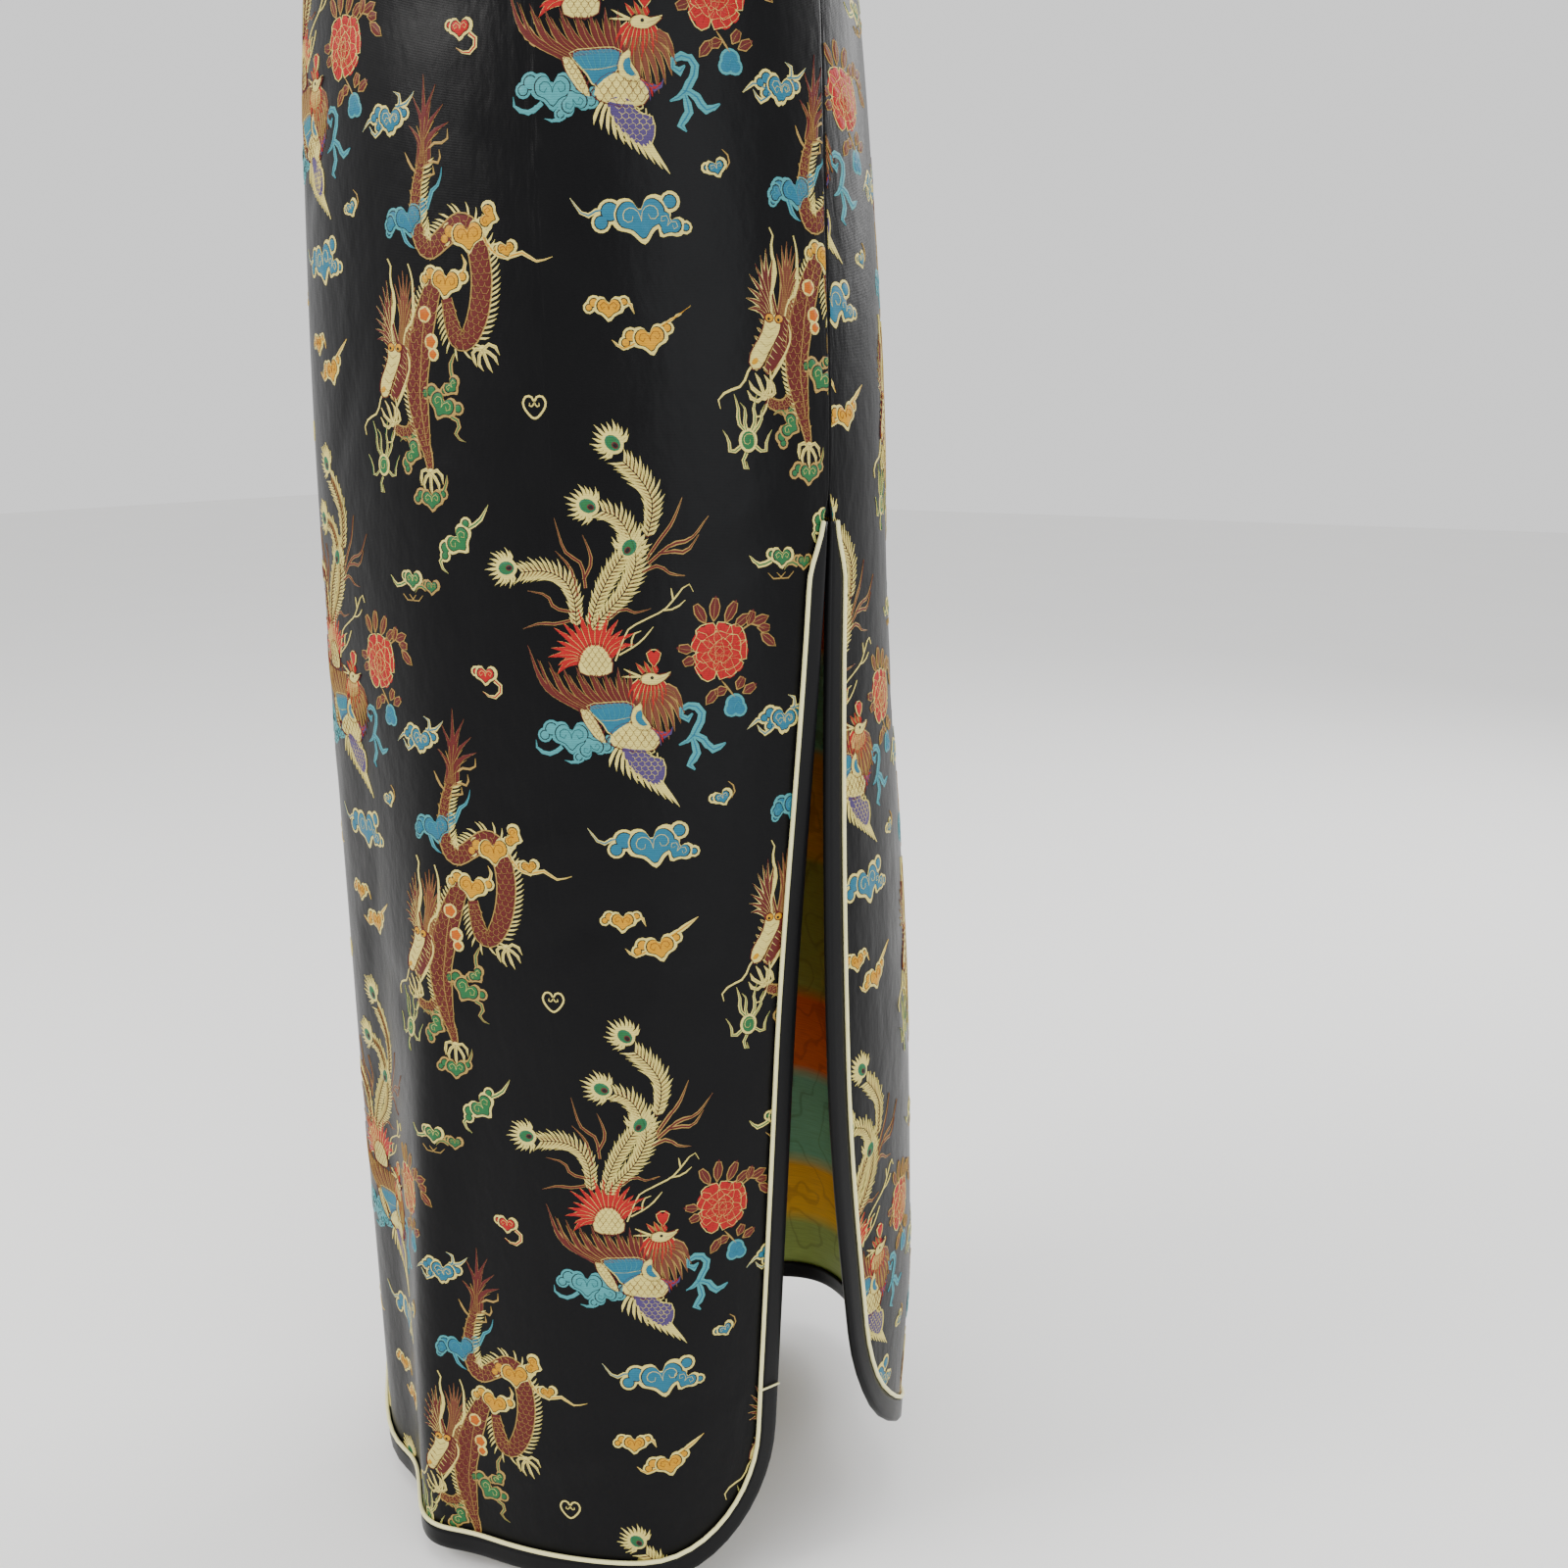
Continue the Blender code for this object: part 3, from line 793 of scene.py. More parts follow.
def grid_quads(rows: int, cols: int, flip: bool = False, ring: bool = False) -> Array:
    """Faces of a grid of rows by cols; ring joins each row's end to its start.

    Args:
        rows: rows of points.
        cols: points in a row.
        flip: whether the faces turn the other way.
        ring: whether each row is a loop.

    Returns:
        Vertex numbers, four to a face.
    """
    steps = cols if ring else cols - 1
    i, j = np.meshgrid(np.arange(rows - 1), np.arange(steps), indexing="ij")
    i, j = i.ravel(), j.ravel()
    a, b = i * cols + j, i * cols + (j + 1) % cols
    quads = np.stack([a, a + cols, b + cols, b], axis=1)
    return quads[:, ::-1] if flip else quads


def wear(piece: bpy.types.Object, node: Optional[str]) -> bpy.types.Object:
    """Let a piece ride on the dress, in place of a node.

    Args:
        piece: the finished piece.
        node: the CAD node that it replaces, or none.

    Returns:
        The piece.
    """
    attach(piece, "root")
    if node:
        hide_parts(node)
    LOG.info("%s: %d faces", piece.name, len(piece.data.polygons))
    return piece


def wall(piece: bpy.types.Object, thickness: float, inner: int = 0) -> None:
    """Give a sheet its wall, half to each side, with another material slot on the inner side.

    Args:
        piece: the sheet.
        thickness: metres through.
        inner: how many slots further on the inner side's material is.
    """
    made = piece.modifiers.new("wall", "SOLIDIFY")
    made.thickness, made.offset = thickness, 0.0
    made.material_offset = inner


def tube(points: Array, radius: Array, sides: int = 10, guide: Sequence[float] = (0.31, 0.22, 0.93)) -> tuple:
    """A round cord: rings of a circle carried along a path, squared to it, closed by its narrow ends.

    Args:
        points: the path.
        radius: radius at each point.
        sides: faces round.
        guide: a direction that the path never follows.

    Returns:
        Points and quad faces.
    """
    run = np.gradient(points, axis=0)
    run /= np.linalg.norm(run, axis=1, keepdims=True)
    side = np.cross(run, np.asarray(guide))
    side /= np.linalg.norm(side, axis=1, keepdims=True)
    other = np.cross(run, side)
    turn = np.linspace(0, 2 * math.pi, sides, endpoint=False)
    radius = np.broadcast_to(radius, len(points))
    first, last = points[:1] - run[:1] * radius[0] * 0.5, points[-1:] + run[-1:] * radius[-1] * 0.5
    path = np.vstack([first, points, last])
    side, other = (np.vstack([v[:1], v, v[-1:]]) for v in (side, other))
    radius = np.concatenate([radius[:1] * 0.05, radius, radius[-1:] * 0.05])
    rings = path[:, None] + radius[:, None, None] * (np.cos(turn)[:, None] * side[:, None]
                                                     + np.sin(turn)[:, None] * other[:, None])
    return rings.reshape(-1, 3), grid_quads(len(path), sides, flip=True, ring=True)


def run_length(points: Array) -> Array:
    """Distance along a line of points, from its first."""
    return np.cumsum(np.r_[0.0, np.linalg.norm(np.diff(points, axis=0), axis=1)])


def heading(line: Array) -> tuple[Array, Array]:
    """Unit steps along a flat line and to its left.

    Args:
        line: points in mm.

    Returns:
        Steps along, and steps to the left.
    """
    run = np.gradient(line, axis=0)
    run /= np.linalg.norm(run, axis=1, keepdims=True) + 1e-9
    return run, np.column_stack([-run[:, 1], run[:, 0]])


def join(parts: Sequence[tuple]) -> tuple:
    """Put several (points, faces) together as one.

    Args:
        parts: pairs of points and faces.

    Returns:
        All points, and all faces with their numbers moved up.
    """
    starts = np.cumsum([0] + [len(points) for points, _ in parts[:-1]])
    return (np.vstack([points for points, _ in parts]),
            np.vstack([faces + start for (_, faces), start in zip(parts, starts)]))


@dataclass
class Cloth:
    """Thicknesses and gaps that all the pieces share."""

    wall: float = 0.0012
    binding_wall: float = 0.0010
    binding_width: float = 0.011
    armhole_width: float = 0.007
    lay_gap: float = 0.0006
    hem_gap: float = 0.0009
    top_gap: float = 0.0010
    piping_radius: float = 0.00125
    underlap_depth: float = 0.0050
    underlap_reach: float = 0.035


CLOTH = Cloth()


@dataclass
class Panels:
    """The front, the back and the strip under the slanting opening."""

    columns: int = 84
    corner_columns: int = 12
    rows: int = 240
    front_flat: tuple = (0.43, 1.36)
    back_flat: tuple = (0.53, 1.34)
    underlap_flat: tuple = (0.21, 0.17)

    def shares(self, side: Side) -> Array:
        """Columns: even in the middle, closing up round each hem corner.

        Args:
            side: which panel.

        Returns:
            The share of each column.
        """
        _, radius, whole = FORM.foot(side)
        inner = 1.0 - radius / whole
        bend = np.sin(np.linspace(0, math.pi / 2, self.corner_columns + 1))[1:]
        corner = inner + (1.0 - inner) * bend
        return np.concatenate([-corner[::-1], np.linspace(-inner, inner, self.columns + 1), corner])

    def sheet(self, name: str, side: Side, shares: Array, heights: Array, lift: float) -> bpy.types.Object:
        """A cloth wall over a grid of shares and heights, black outside and woven colours inside.

        Args:
            name: the node's name.
            side: which panel.
            shares: a share for each column.
            heights: heights by row and column.
            lift: metres out from the sheet.

        Returns:
            The piece.
        """
        rows, cols = heights.shape
        points = FORM.place(side, shares[None, :], heights, lift)
        across = np.concatenate([np.zeros((rows, 1)),
                                 np.cumsum(np.linalg.norm(np.diff(points, axis=1), axis=2), axis=1)], axis=1)
        across -= across[:, cols // 2:cols // 2 + 1]
        uv = np.stack([across, heights], axis=-1).reshape(-1, 2)
        quads = grid_quads(rows, cols, flip=side is Side.BACK)
        piece = mesh_piece(name + "_cloth", points.reshape(-1, 3), quads, (SATIN, REVERSE), uv)
        wall(piece, CLOTH.wall, inner=1)
        return wear(piece, name)

    def build(self) -> None:
        """Make the three panels."""
        for side in Side:
            shares = self.shares(side)
            top = FORM.travel(shares, FORM.top(side, shares), side)
            end = FORM.travel(shares, FORM.hem_edge(side, shares), side)
            run = top + (end - top) * np.linspace(0, 1, self.rows)[:, None]
            heights = FORM.height_at(shares, run, side)
            heights[0], heights[-1] = FORM.top(side, shares), FORM.hem_edge(side, shares)
            self.sheet(side.value, side, shares, heights, 0.0)
        shares = np.linspace(-1.0, -0.02, 40)
        start = FORM.travel(shares, FORM.panel_top(shares, Side.FRONT), Side.FRONT)
        end = FORM.travel(shares, FORM.opening_edge(shares) - CLOTH.underlap_reach, Side.FRONT)
        run = start + (end - start) * np.linspace(0, 1, 34)[:, None]
        heights = FORM.height_at(shares, run, Side.FRONT)
        lap = self.sheet("front_underlap", Side.FRONT, shares, heights, -CLOTH.underlap_depth)


@dataclass
class Trims:
    """Bindings folded over the edges and the pale piping beside them."""

    step: float = 0.007
    start: float = -0.744
    tack_rise: float = 0.028
    tack_radius: float = 0.0006
    tack_lift: float = 0.0022
    seam_wall: float = 0.0006
    seam_top: float = -0.184
    seam_turn: float = 0.007
    shoulder_turn: float = 0.0016
    armhole_top: float = 0.002
    pinch: float = 0.12
    pinch_run: float = 0.034

    def path(self, side: Side) -> Array:
        """The bound edge of a skirt panel: down one slit, round the hem, up the other.

        Args:
            side: which panel.

        Returns:
            Points as share across and height.
        """
        hem, radius, _ = FORM.foot(side)
        level = np.arange(self.start, hem + radius, -self.step)
        level = np.append(level, hem + radius)
        left = np.column_stack([np.ones(len(level)), level])
        across = PANELS.shares(side)[1:-1][::-1]
        bottom = np.column_stack([across, FORM.hem_edge(side, across)])
        return np.vstack([left, bottom, left[::-1] * (-1.0, 1.0)])

    def inward(self, side: Side, path: Array) -> Array:
        """Unit steps into the cloth along an edge, in metres across and up.

        Args:
            side: which panel.
            path: edge points, as share across and height.

        Returns:
            A unit step for each point.
        """
        metres = path * 1.0
        metres[:, 0] = path[:, 0] * FORM.edge_angle(side, path[:, 1]) * FORM.column("half_width", path[:, 1])
        run = np.gradient(metres, axis=0)
        run /= np.linalg.norm(run, axis=1, keepdims=True)
        return np.column_stack([run[:, 1], -run[:, 0]])

    def narrow(self, path: Array) -> Array:
        """How wide the binding is beside its full width: the two sides draw together up to a slit's top."""
        share = smooth((self.start + 0.002 - path[:, 1]) / self.pinch_run)
        return self.pinch + (1.0 - self.pinch) * share

    def beside(self, side: Side, path: Array, distance: Array, lift: Array) -> Array:
        """Points at a distance in from an edge, moved out by lift.

        Args:
            side: which panel.
            path: edge points, as share across and height.
            distance: metres into the cloth.
            lift: metres out from the sheet.

        Returns:
            Points in metres.
        """
        steps = self.inward(side, path)
        width = FORM.edge_angle(side, path[:, 1]) * FORM.column("half_width", path[:, 1])
        return FORM.place(side, path[:, 0] + steps[:, 0] * distance / width,
                          path[:, 1] + steps[:, 1] * distance, lift)

    def legs(self, width: float, gap: float) -> Array:
        """Inset and lift along a strip folded round an edge: a flat leg, a half turn, a flat leg.

        Args:
            width: metres that the strip covers.
            gap: metres of air over the cloth.

        Returns:
            Rows of inset and lift.
        """
        clear = CLOTH.wall / 2 + gap + CLOTH.binding_wall / 2
        rim = clear - CLOTH.wall / 2
        turn = np.linspace(math.pi / 2, -math.pi / 2, 7)
        leg = np.linspace(width, 0.0, 5)[:-1]
        outer = np.column_stack([leg, np.full(4, clear)])
        bend = np.column_stack([-rim * np.cos(turn), clear * np.sin(turn)])
        return np.vstack([outer, bend, (outer * (1.0, -1.0))[::-1]])

    def strip(self, name: str, node: Optional[str], points: Array, flip: bool, thickness: float,
              line: int = 0) -> None:
        """A strip of satin as a folded wall, cut as long as its edge and as wide as its fold.

        Args:
            name: the piece's name.
            node: the node that it replaces, or none for the turned-in edges of a seam.
            points: rows along the strip, columns over its fold.
            flip: whether the faces turn the other way.
            thickness: of the wall in metres.
            line: the column along which its length is measured.
        """
        rows, cols = points.shape[:2]
        along, over = run_length(points[:, line]), run_length(points[rows // 2])
        uv = np.stack(np.broadcast_arrays(over[None, :], along[:, None]), axis=-1).reshape(-1, 2)
        piece = mesh_piece(name, points.reshape(-1, 3), grid_quads(rows, cols, flip), (EDGE_SATIN,), uv)
        wall(piece, thickness)
        wear(piece, node)

    def seams(self) -> None:
        """Make the side seams down to the slits, and the shoulder seams."""
        under = -(CLOTH.wall / 2 + self.seam_wall)
        for name, hand in (("left", 1.0), ("right", -1.0)):
            rows = np.linspace(self.seam_top, self.start + 0.002, 70)
            points = []
            turned_in = self.seam_turn
            for side, inset in ((Side.FRONT, turned_in), (Side.FRONT, 0.0), (Side.BACK, 0.0),
                                (Side.BACK, turned_in)):
                width = FORM.edge_angle(side, rows) * FORM.column("half_width", rows)
                points.append(FORM.place(side, hand * (1.0 - inset / width), rows, under))
            self.strip(f"{name}_side_seam", None, np.stack(points, axis=1), hand < 0, self.seam_wall, line=1)
            level = np.zeros(1)
            width, edge = FORM.column("half_width", level), FORM.edge_angle(Side.FRONT, level)
            inner = math.asin(FORM.neck_half / float(width[0])) / float(edge[0])
            across = hand * np.linspace(inner + 0.02, 0.985, 24)
            points = []
            turned_in = self.shoulder_turn
            for side, drop in ((Side.FRONT, turned_in), (Side.FRONT, 0.0), (Side.BACK, 0.0),
                               (Side.BACK, turned_in)):
                depth = CLOTH.underlap_depth if side is Side.FRONT and hand < 0 else 0.0
                points.append(FORM.place(side, across, FORM.panel_top(across, side) - drop, under - depth))
            self.strip(f"{name}_shoulder_seam", None, np.stack(points, axis=1), hand < 0, self.seam_wall,
                       line=1)

    def build(self) -> None:
        """Make every seam, binding and piping."""
        self.seams()
        self.skirt_edges()
        self.tack()
        self.opening()
        self.armholes()

    def skirt_edges(self) -> None:
        """Make the binding and the piping round both slits and the hem of each panel."""
        for side in Side:
            path = self.path(side)
            narrow = self.narrow(path)
            points = np.stack([self.beside(side, path, inset * np.where(inset > 0, narrow, 1.0), lift)
                               for inset, lift in self.legs(CLOTH.binding_width, CLOTH.hem_gap)], axis=1)
            self.strip(side.value + "_edge_binding", side.value + "_binding", points, side is Side.BACK,
                       CLOTH.binding_wall)
            inset = CLOTH.binding_width * narrow + CLOTH.lay_gap + CLOTH.piping_radius
            lift = CLOTH.wall / 2 + CLOTH.lay_gap + CLOTH.piping_radius
            piped = tube(self.beside(side, path, inset, lift), CLOTH.piping_radius)
            made = mesh_piece(side.value + "_piped_edge", *piped, (PIPING_SATIN,))
            wear(made, side.value + "_piping")

    def tack(self) -> None:
        """Make the small thread bar that crosses the front's binding."""
        hem, radius, _ = FORM.foot(Side.FRONT)
        level = hem + radius + self.tack_rise
        across = np.linspace(-0.0005, CLOTH.binding_width + 0.003, 8)
        reach = FORM.edge_angle(Side.FRONT, level) * FORM.column("half_width", level)
        lift = CLOTH.wall / 2 + CLOTH.hem_gap + self.tack_lift
        tack = FORM.place(Side.FRONT, 1.0 - across / reach, np.full(8, level), lift)
        wear(mesh_piece("thread_tack", *tube(tack, self.tack_radius), (PIPING_SATIN,)), None)

    def opening(self) -> None:
        """Make the binding of the slanting opening."""
        run = np.linspace(-0.72, -0.04, 60)
        points = []
        for inset, lift in self.legs(CLOTH.binding_width, CLOTH.top_gap):
            reached = FORM.travel(run, FORM.opening_edge(run), Side.FRONT) + inset
            points.append(FORM.place(Side.FRONT, run, FORM.height_at(run, reached, Side.FRONT), lift))
        self.strip("opening_strip", "opening_binding", np.stack(points, axis=1), False, CLOTH.binding_wall)

    def armholes(self) -> None:
        """Make the four bindings of the armholes, from the shoulder's crown down."""
        for side, hand, depth in ((Side.FRONT, 1.0, 0.0), (Side.BACK, 1.0, 0.0), (Side.BACK, -1.0, 0.0),
                                  (Side.FRONT, -1.0, CLOTH.underlap_depth)):
            node = "armhole_binding_" + ("left_" if hand > 0 else "right_") + side.value
            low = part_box(node)[0].z
            crown, _ = FORM.shoulder(np.full(1, hand), side)
            rows = np.linspace(float(crown[0]) - self.armhole_top, low + 0.0004, 30)
            points = []
            for inset, lift in self.legs(CLOTH.armhole_width, CLOTH.top_gap):
                share = hand * (1.0 - inset / (FORM.edge_angle(side, rows) * FORM.column("half_width", rows)))
                points.append(FORM.place(side, share, rows, lift - depth))
            flip = (hand > 0) == (side is Side.FRONT)
            self.strip(node + "_strip", node, np.stack(points, axis=1), flip, CLOTH.binding_wall)


@dataclass
class Collar:
    """The stand collar, and the turned-in edge of the neck under it."""

    height: float = 0.042
    wall: float = 0.0016
    lean: float = 0.12
    tilt: float = 0.30
    seam_drop: float = 0.010
    seam_rise: float = 0.004
    seam_dip: float = 0.001
    seam_inset: float = 0.975
    seam_sink: float = 0.0008

    def rings(self, count: int, rows: int) -> Array:
        """The neck edge raised, leaned in and tipped forward, with a gap at the front's middle.

        Args:
            count: points round.
            rows: rows up.

        Returns:
            Points by row and column.
        """
        turn = np.radians(np.linspace(2.0, 358.0, count))
        across = FORM.neck_half * np.sin(turn)
        front = np.cos(turn) > 0
        drop = np.where(front, FORM.front_neck_drop, FORM.back_neck_drop)
        foot = -drop * np.clip(1.0 - (np.abs(across) / FORM.neck_half) ** 2.2, 0.0, 1.0)
        fall = np.clip(-foot / FORM.shoulder_roll, 0.0, 1.0)
        roll = np.sqrt(1.0 - (1.0 - fall) ** 2)
        angle = np.arcsin(np.clip(across / FORM.column("half_width", foot), -1.0, 1.0))
        depth = np.where(front, -FORM.column("front_depth", foot), FORM.column("back_depth", foot))
        base = np.column_stack([across, depth * np.cos(angle) * roll, foot])
        end = smooth(np.minimum(np.degrees(turn), 360.0 - np.degrees(turn)) / 14.0)
        share = np.linspace(0.0, 1.0, rows)[:, None]
        rise = CLOTH.wall / 2 + self.wall / 2 + CLOTH.lay_gap + share * self.height * (0.72 + 0.28 * end)
        shrink = 1.0 - self.lean * share
        return np.stack([base[:, 0] * shrink, base[:, 1] * shrink - self.tilt * share * self.height,
                         base[:, 2] + rise], axis=-1)

    def build(self) -> None:
        """Make the collar wall."""
        rings = self.rings(161, 12)
        rows, cols = rings.shape[:2]
        along = run_length(rings[0])
        uv = np.stack(np.broadcast_arrays(along[None, :], rings[..., 2]), axis=-1).reshape(-1, 2)
        piece = mesh_piece("collar_cloth", rings.reshape(-1, 3), grid_quads(rows, cols), (SATIN,), uv)
        wall(piece, self.wall)
        wear(piece, "collar")
        self.seam(rings[0])

    def seam(self, foot: Array) -> None:
        """The turned-in edge of the neck: a strip from inside the collar's foot down inside the panels.

        Args:
            foot: the collar's lowest ring.
        """
        low = foot[:, 2] - self.seam_drop
        front = foot[:, 1] < 0.0
        sunk = []
        for side in Side:
            half = FORM.column("half_width", low)
            share = np.arcsin(np.clip(foot[:, 0] / half, -1.0, 1.0)) / FORM.edge_angle(side, low)
            sunk.append(FORM.place(side, share, low, -CLOTH.wall / 2 - CLOTH.underlap_depth - self.seam_sink))
        under = np.where(front[:, None], sunk[0], sunk[1])
        inner = foot * (self.seam_inset, self.seam_inset, 1.0)
        points = np.stack([inner + (0.0, 0.0, self.seam_rise), inner - (0.0, 0.0, self.seam_dip), under],
                          axis=0)
        rows, cols = points.shape[:2]
        along = run_length(inner)
        stand = self.seam_rise + self.seam_dip
        over = np.array([0.0, stand, stand + float(np.linalg.norm(points[2] - points[1], axis=1).mean())])
        uv = np.stack(np.broadcast_arrays(along[None, :], over[:, None]), axis=-1).reshape(-1, 2)
        quads = grid_quads(rows, cols, True)
        piece = mesh_piece("neck_seam", points.reshape(-1, 3), quads, (EDGE_SATIN,), uv)
        wall(piece, TRIMS.seam_wall)
        wear(piece, None)


@dataclass
class Frogs:
    """Knotted button closures of satin cord: their solids are kept, in cord satin."""

    names: tuple = ("collar_frog", "chest_frog", "side_frog")
    halves: tuple = ("loop", "button")

    def build(self) -> None:
        """Dress the loop and the button of each closure."""
        for name in self.names:
            for half in self.halves:
                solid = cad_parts[f"{name}_{half}"]
                solid.data.materials.clear()
                solid.data.materials.append(CLOSET.get(FROG_SATIN))
                LOG.info("%s: dressed", solid.name)


@dataclass(frozen=True)
class Lamp:
    """One soft square light: its place, side in metres, power in watts and colour."""

    name: str
    place: tuple
    size: float
    power: float
    colour: tuple


@dataclass
class Studio:
    """The camera at the photograph's angle, soft lights and a pale floor."""

    lens: float = 37.64
    sensor: float = 36.0
    spot: tuple = (0.5747, -0.7654, -0.6864)
    heading: float = 120.39
    pitch: float = 13.0
    floor_height: float = -1.352
    floor_reach: float = 9.0
    floor_colour: tuple = (0.90, 0.895, 0.885)
    world_strength: float = 1.1
    aim: tuple = (0.0, 0.0, -0.7)
    lamps: tuple = (
        Lamp("key", (-1.3, -1.9, 0.7), 1.1, 46.0, (1.0, 0.98, 0.95)),
        Lamp("fill", (2.2, -1.3, -0.2), 2.0, 30.0, (0.95, 0.98, 1.0)),
        Lamp("rim", (0.9, 2.2, 0.5), 1.5, 40.0, (1.0, 1.0, 1.0)),
        Lamp("overhead", (0.0, -0.3, 2.2), 2.4, 45.0, (1.0, 1.0, 1.0)),
    )

    def build(self) -> None:
        """Set up camera, lights, world and floor."""
        self.camera()
        self.light()
        reach = self.floor_reach
        corners = np.array([(-reach, -reach, 0), (reach, -reach, 0), (reach, reach, 0), (-reach, reach, 0)])
        floor = mesh_piece("floor", corners + (0, 0, self.floor_height), np.array([(0, 1, 2, 3)]),
                           (PlainFinish("pale_floor", self.floor_colour),))

    def camera(self) -> None:
        """Place the camera where the photograph was taken from."""
        data = bpy.data.cameras.new("camera")
        data.lens, data.sensor_width = self.lens, self.sensor
        data.clip_start = 0.01
        camera = bpy.data.objects.new("camera", data)
        bpy.context.scene.collection.objects.link(camera)
        turn, dip = math.radians(self.heading), math.radians(self.pitch)
        ahead = Vector((math.cos(turn) * math.cos(dip), math.sin(turn) * math.cos(dip), -math.sin(dip)))
        camera.location = self.spot
        camera.rotation_euler = ahead.to_track_quat("-Z", "Y").to_euler()
        bpy.context.scene.camera = camera

    def light(self) -> None:
        """Hang the soft lights and set an even white world."""
        for lamp in self.lamps:
            light = bpy.data.lights.new(lamp.name, "AREA")
            light.energy, light.size, light.color = lamp.power, lamp.size, lamp.colour
            hung = bpy.data.objects.new(lamp.name, light)
            hung.location = lamp.place
            ahead = Vector(self.aim) - Vector(lamp.place)
            hung.rotation_euler = ahead.to_track_quat("-Z", "Y").to_euler()
            bpy.context.scene.collection.objects.link(hung)
        world = bpy.data.worlds.new("studio")
        world.use_nodes = True
        background = world.node_tree.nodes["Background"]
        background.inputs["Color"].default_value = (1.0, 1.0, 1.0, 1.0)
        background.inputs["Strength"].default_value = self.world_strength
        bpy.context.scene.world = world


SILKS = {
    GOLD: (0.40, 0.25, 0.060),
    MAROON: (0.110, 0.010, 0.008),
    RED: (0.42, 0.004, 0.005),
    BLUE: (0.014, 0.15, 0.24),
    TEAL: (0.060, 0.30, 0.32),
    YELLOW: (0.62, 0.285, 0.0),
    ORANGE: (0.52, 0.105, 0.0),
    GREEN: (0.014, 0.135, 0.040),
    PURPLE: (0.070, 0.045, 0.15),
    CREAM: (0.74, 0.62, 0.17),
    BROWN: (0.16, 0.040, 0.018),
    BLACK: (0.003, 0.003, 0.003),
}


def curve(knots: Sequence, step: float, closed: bool = False) -> Array:
    """A smooth line through knots: each stretch is a cubic whose end slopes are half the chord between
    the knots on either side, and the line is then cut into even steps.

    Args:
        knots: points in mm.
        step: distance between points in mm.
        closed: whether the last knot joins the first.

    Returns:
        Points along the line.
    """
    knots = np.asarray(knots, dtype=float)
    ring = np.vstack([knots[-1:], knots, knots[:2]]) if closed else np.vstack(
        [2 * knots[:1] - knots[1:2], knots, 2 * knots[-1:] - knots[-2:-1]])
    t = np.linspace(0, 1, 9)[:-1, None, None]
    a, b, c, d = ring[:-3], ring[1:-2], ring[2:-1], ring[3:]
    line = 0.5 * (2 * b + (c - a) * t + (2 * a - 5 * b + 4 * c - d) * t ** 2
                  + (3 * b - a - 3 * c + d) * t ** 3)
    line = line.transpose(1, 0, 2).reshape(-1, knots.shape[1])
    line = np.vstack([line, knots[:1] if closed else knots[-1:]])
    run = np.r_[0.0, np.cumsum(np.linalg.norm(np.diff(line, axis=0), axis=1))]
    count = max(3, int(math.ceil(run[-1] / step)) + 1)
    at = np.linspace(0, run[-1], count)
    return np.column_stack([np.interp(at, run, line[:, k]) for k in range(line.shape[1])])


def turned(points: Sequence, degrees: float, spot: Sequence[float] = (0, 0), size: float = 1.0) -> Array:
    """Points turned, scaled and moved.

    Args:
        points: rows of across and up.
        degrees: turn, anticlockwise.
        spot: where the origin goes.
        size: scale.

    Returns:
        The points.
    """
    c, s = math.cos(math.radians(degrees)), math.sin(math.radians(degrees))
    turn = np.array([[c, s], [-s, c]])
    return np.asarray(points, dtype=float) @ turn * size + np.asarray(spot, dtype=float)


@dataclass(frozen=True)
class Origin:
    """The spot in mm that a figure's knots count from."""

    x: float
    y: float

    def __call__(self, *knots: tuple) -> Array:
        """Knots moved to the spot."""
        return np.array(knots, dtype=float) + (self.x, self.y)

    def box(self, left: float, low: float, right: float, high: float) -> tuple:
        """A box moved to the spot."""
        return self.x + left, self.y + low, self.x + right, self.y + high

    def oval(self, x: float, y: float, wide: float, high: float) -> Callable:
        """A test of whether a spot lies inside an oval of those half sizes."""
        return lambda px, py: ((px - self.x - x) / wide) ** 2 + ((py - self.y - y) / high) ** 2 < 1


@dataclass(frozen=True)
class Cloud:
    """One curled cloud: its colours, its head's middle and width in mm, its turn in degrees, its wisps."""

    thread: Thread
    line: Thread
    x: float
    y: float
    size: float
    turn: float = 0.0
    wisps: tuple = ()
    curl: Optional[Thread] = None


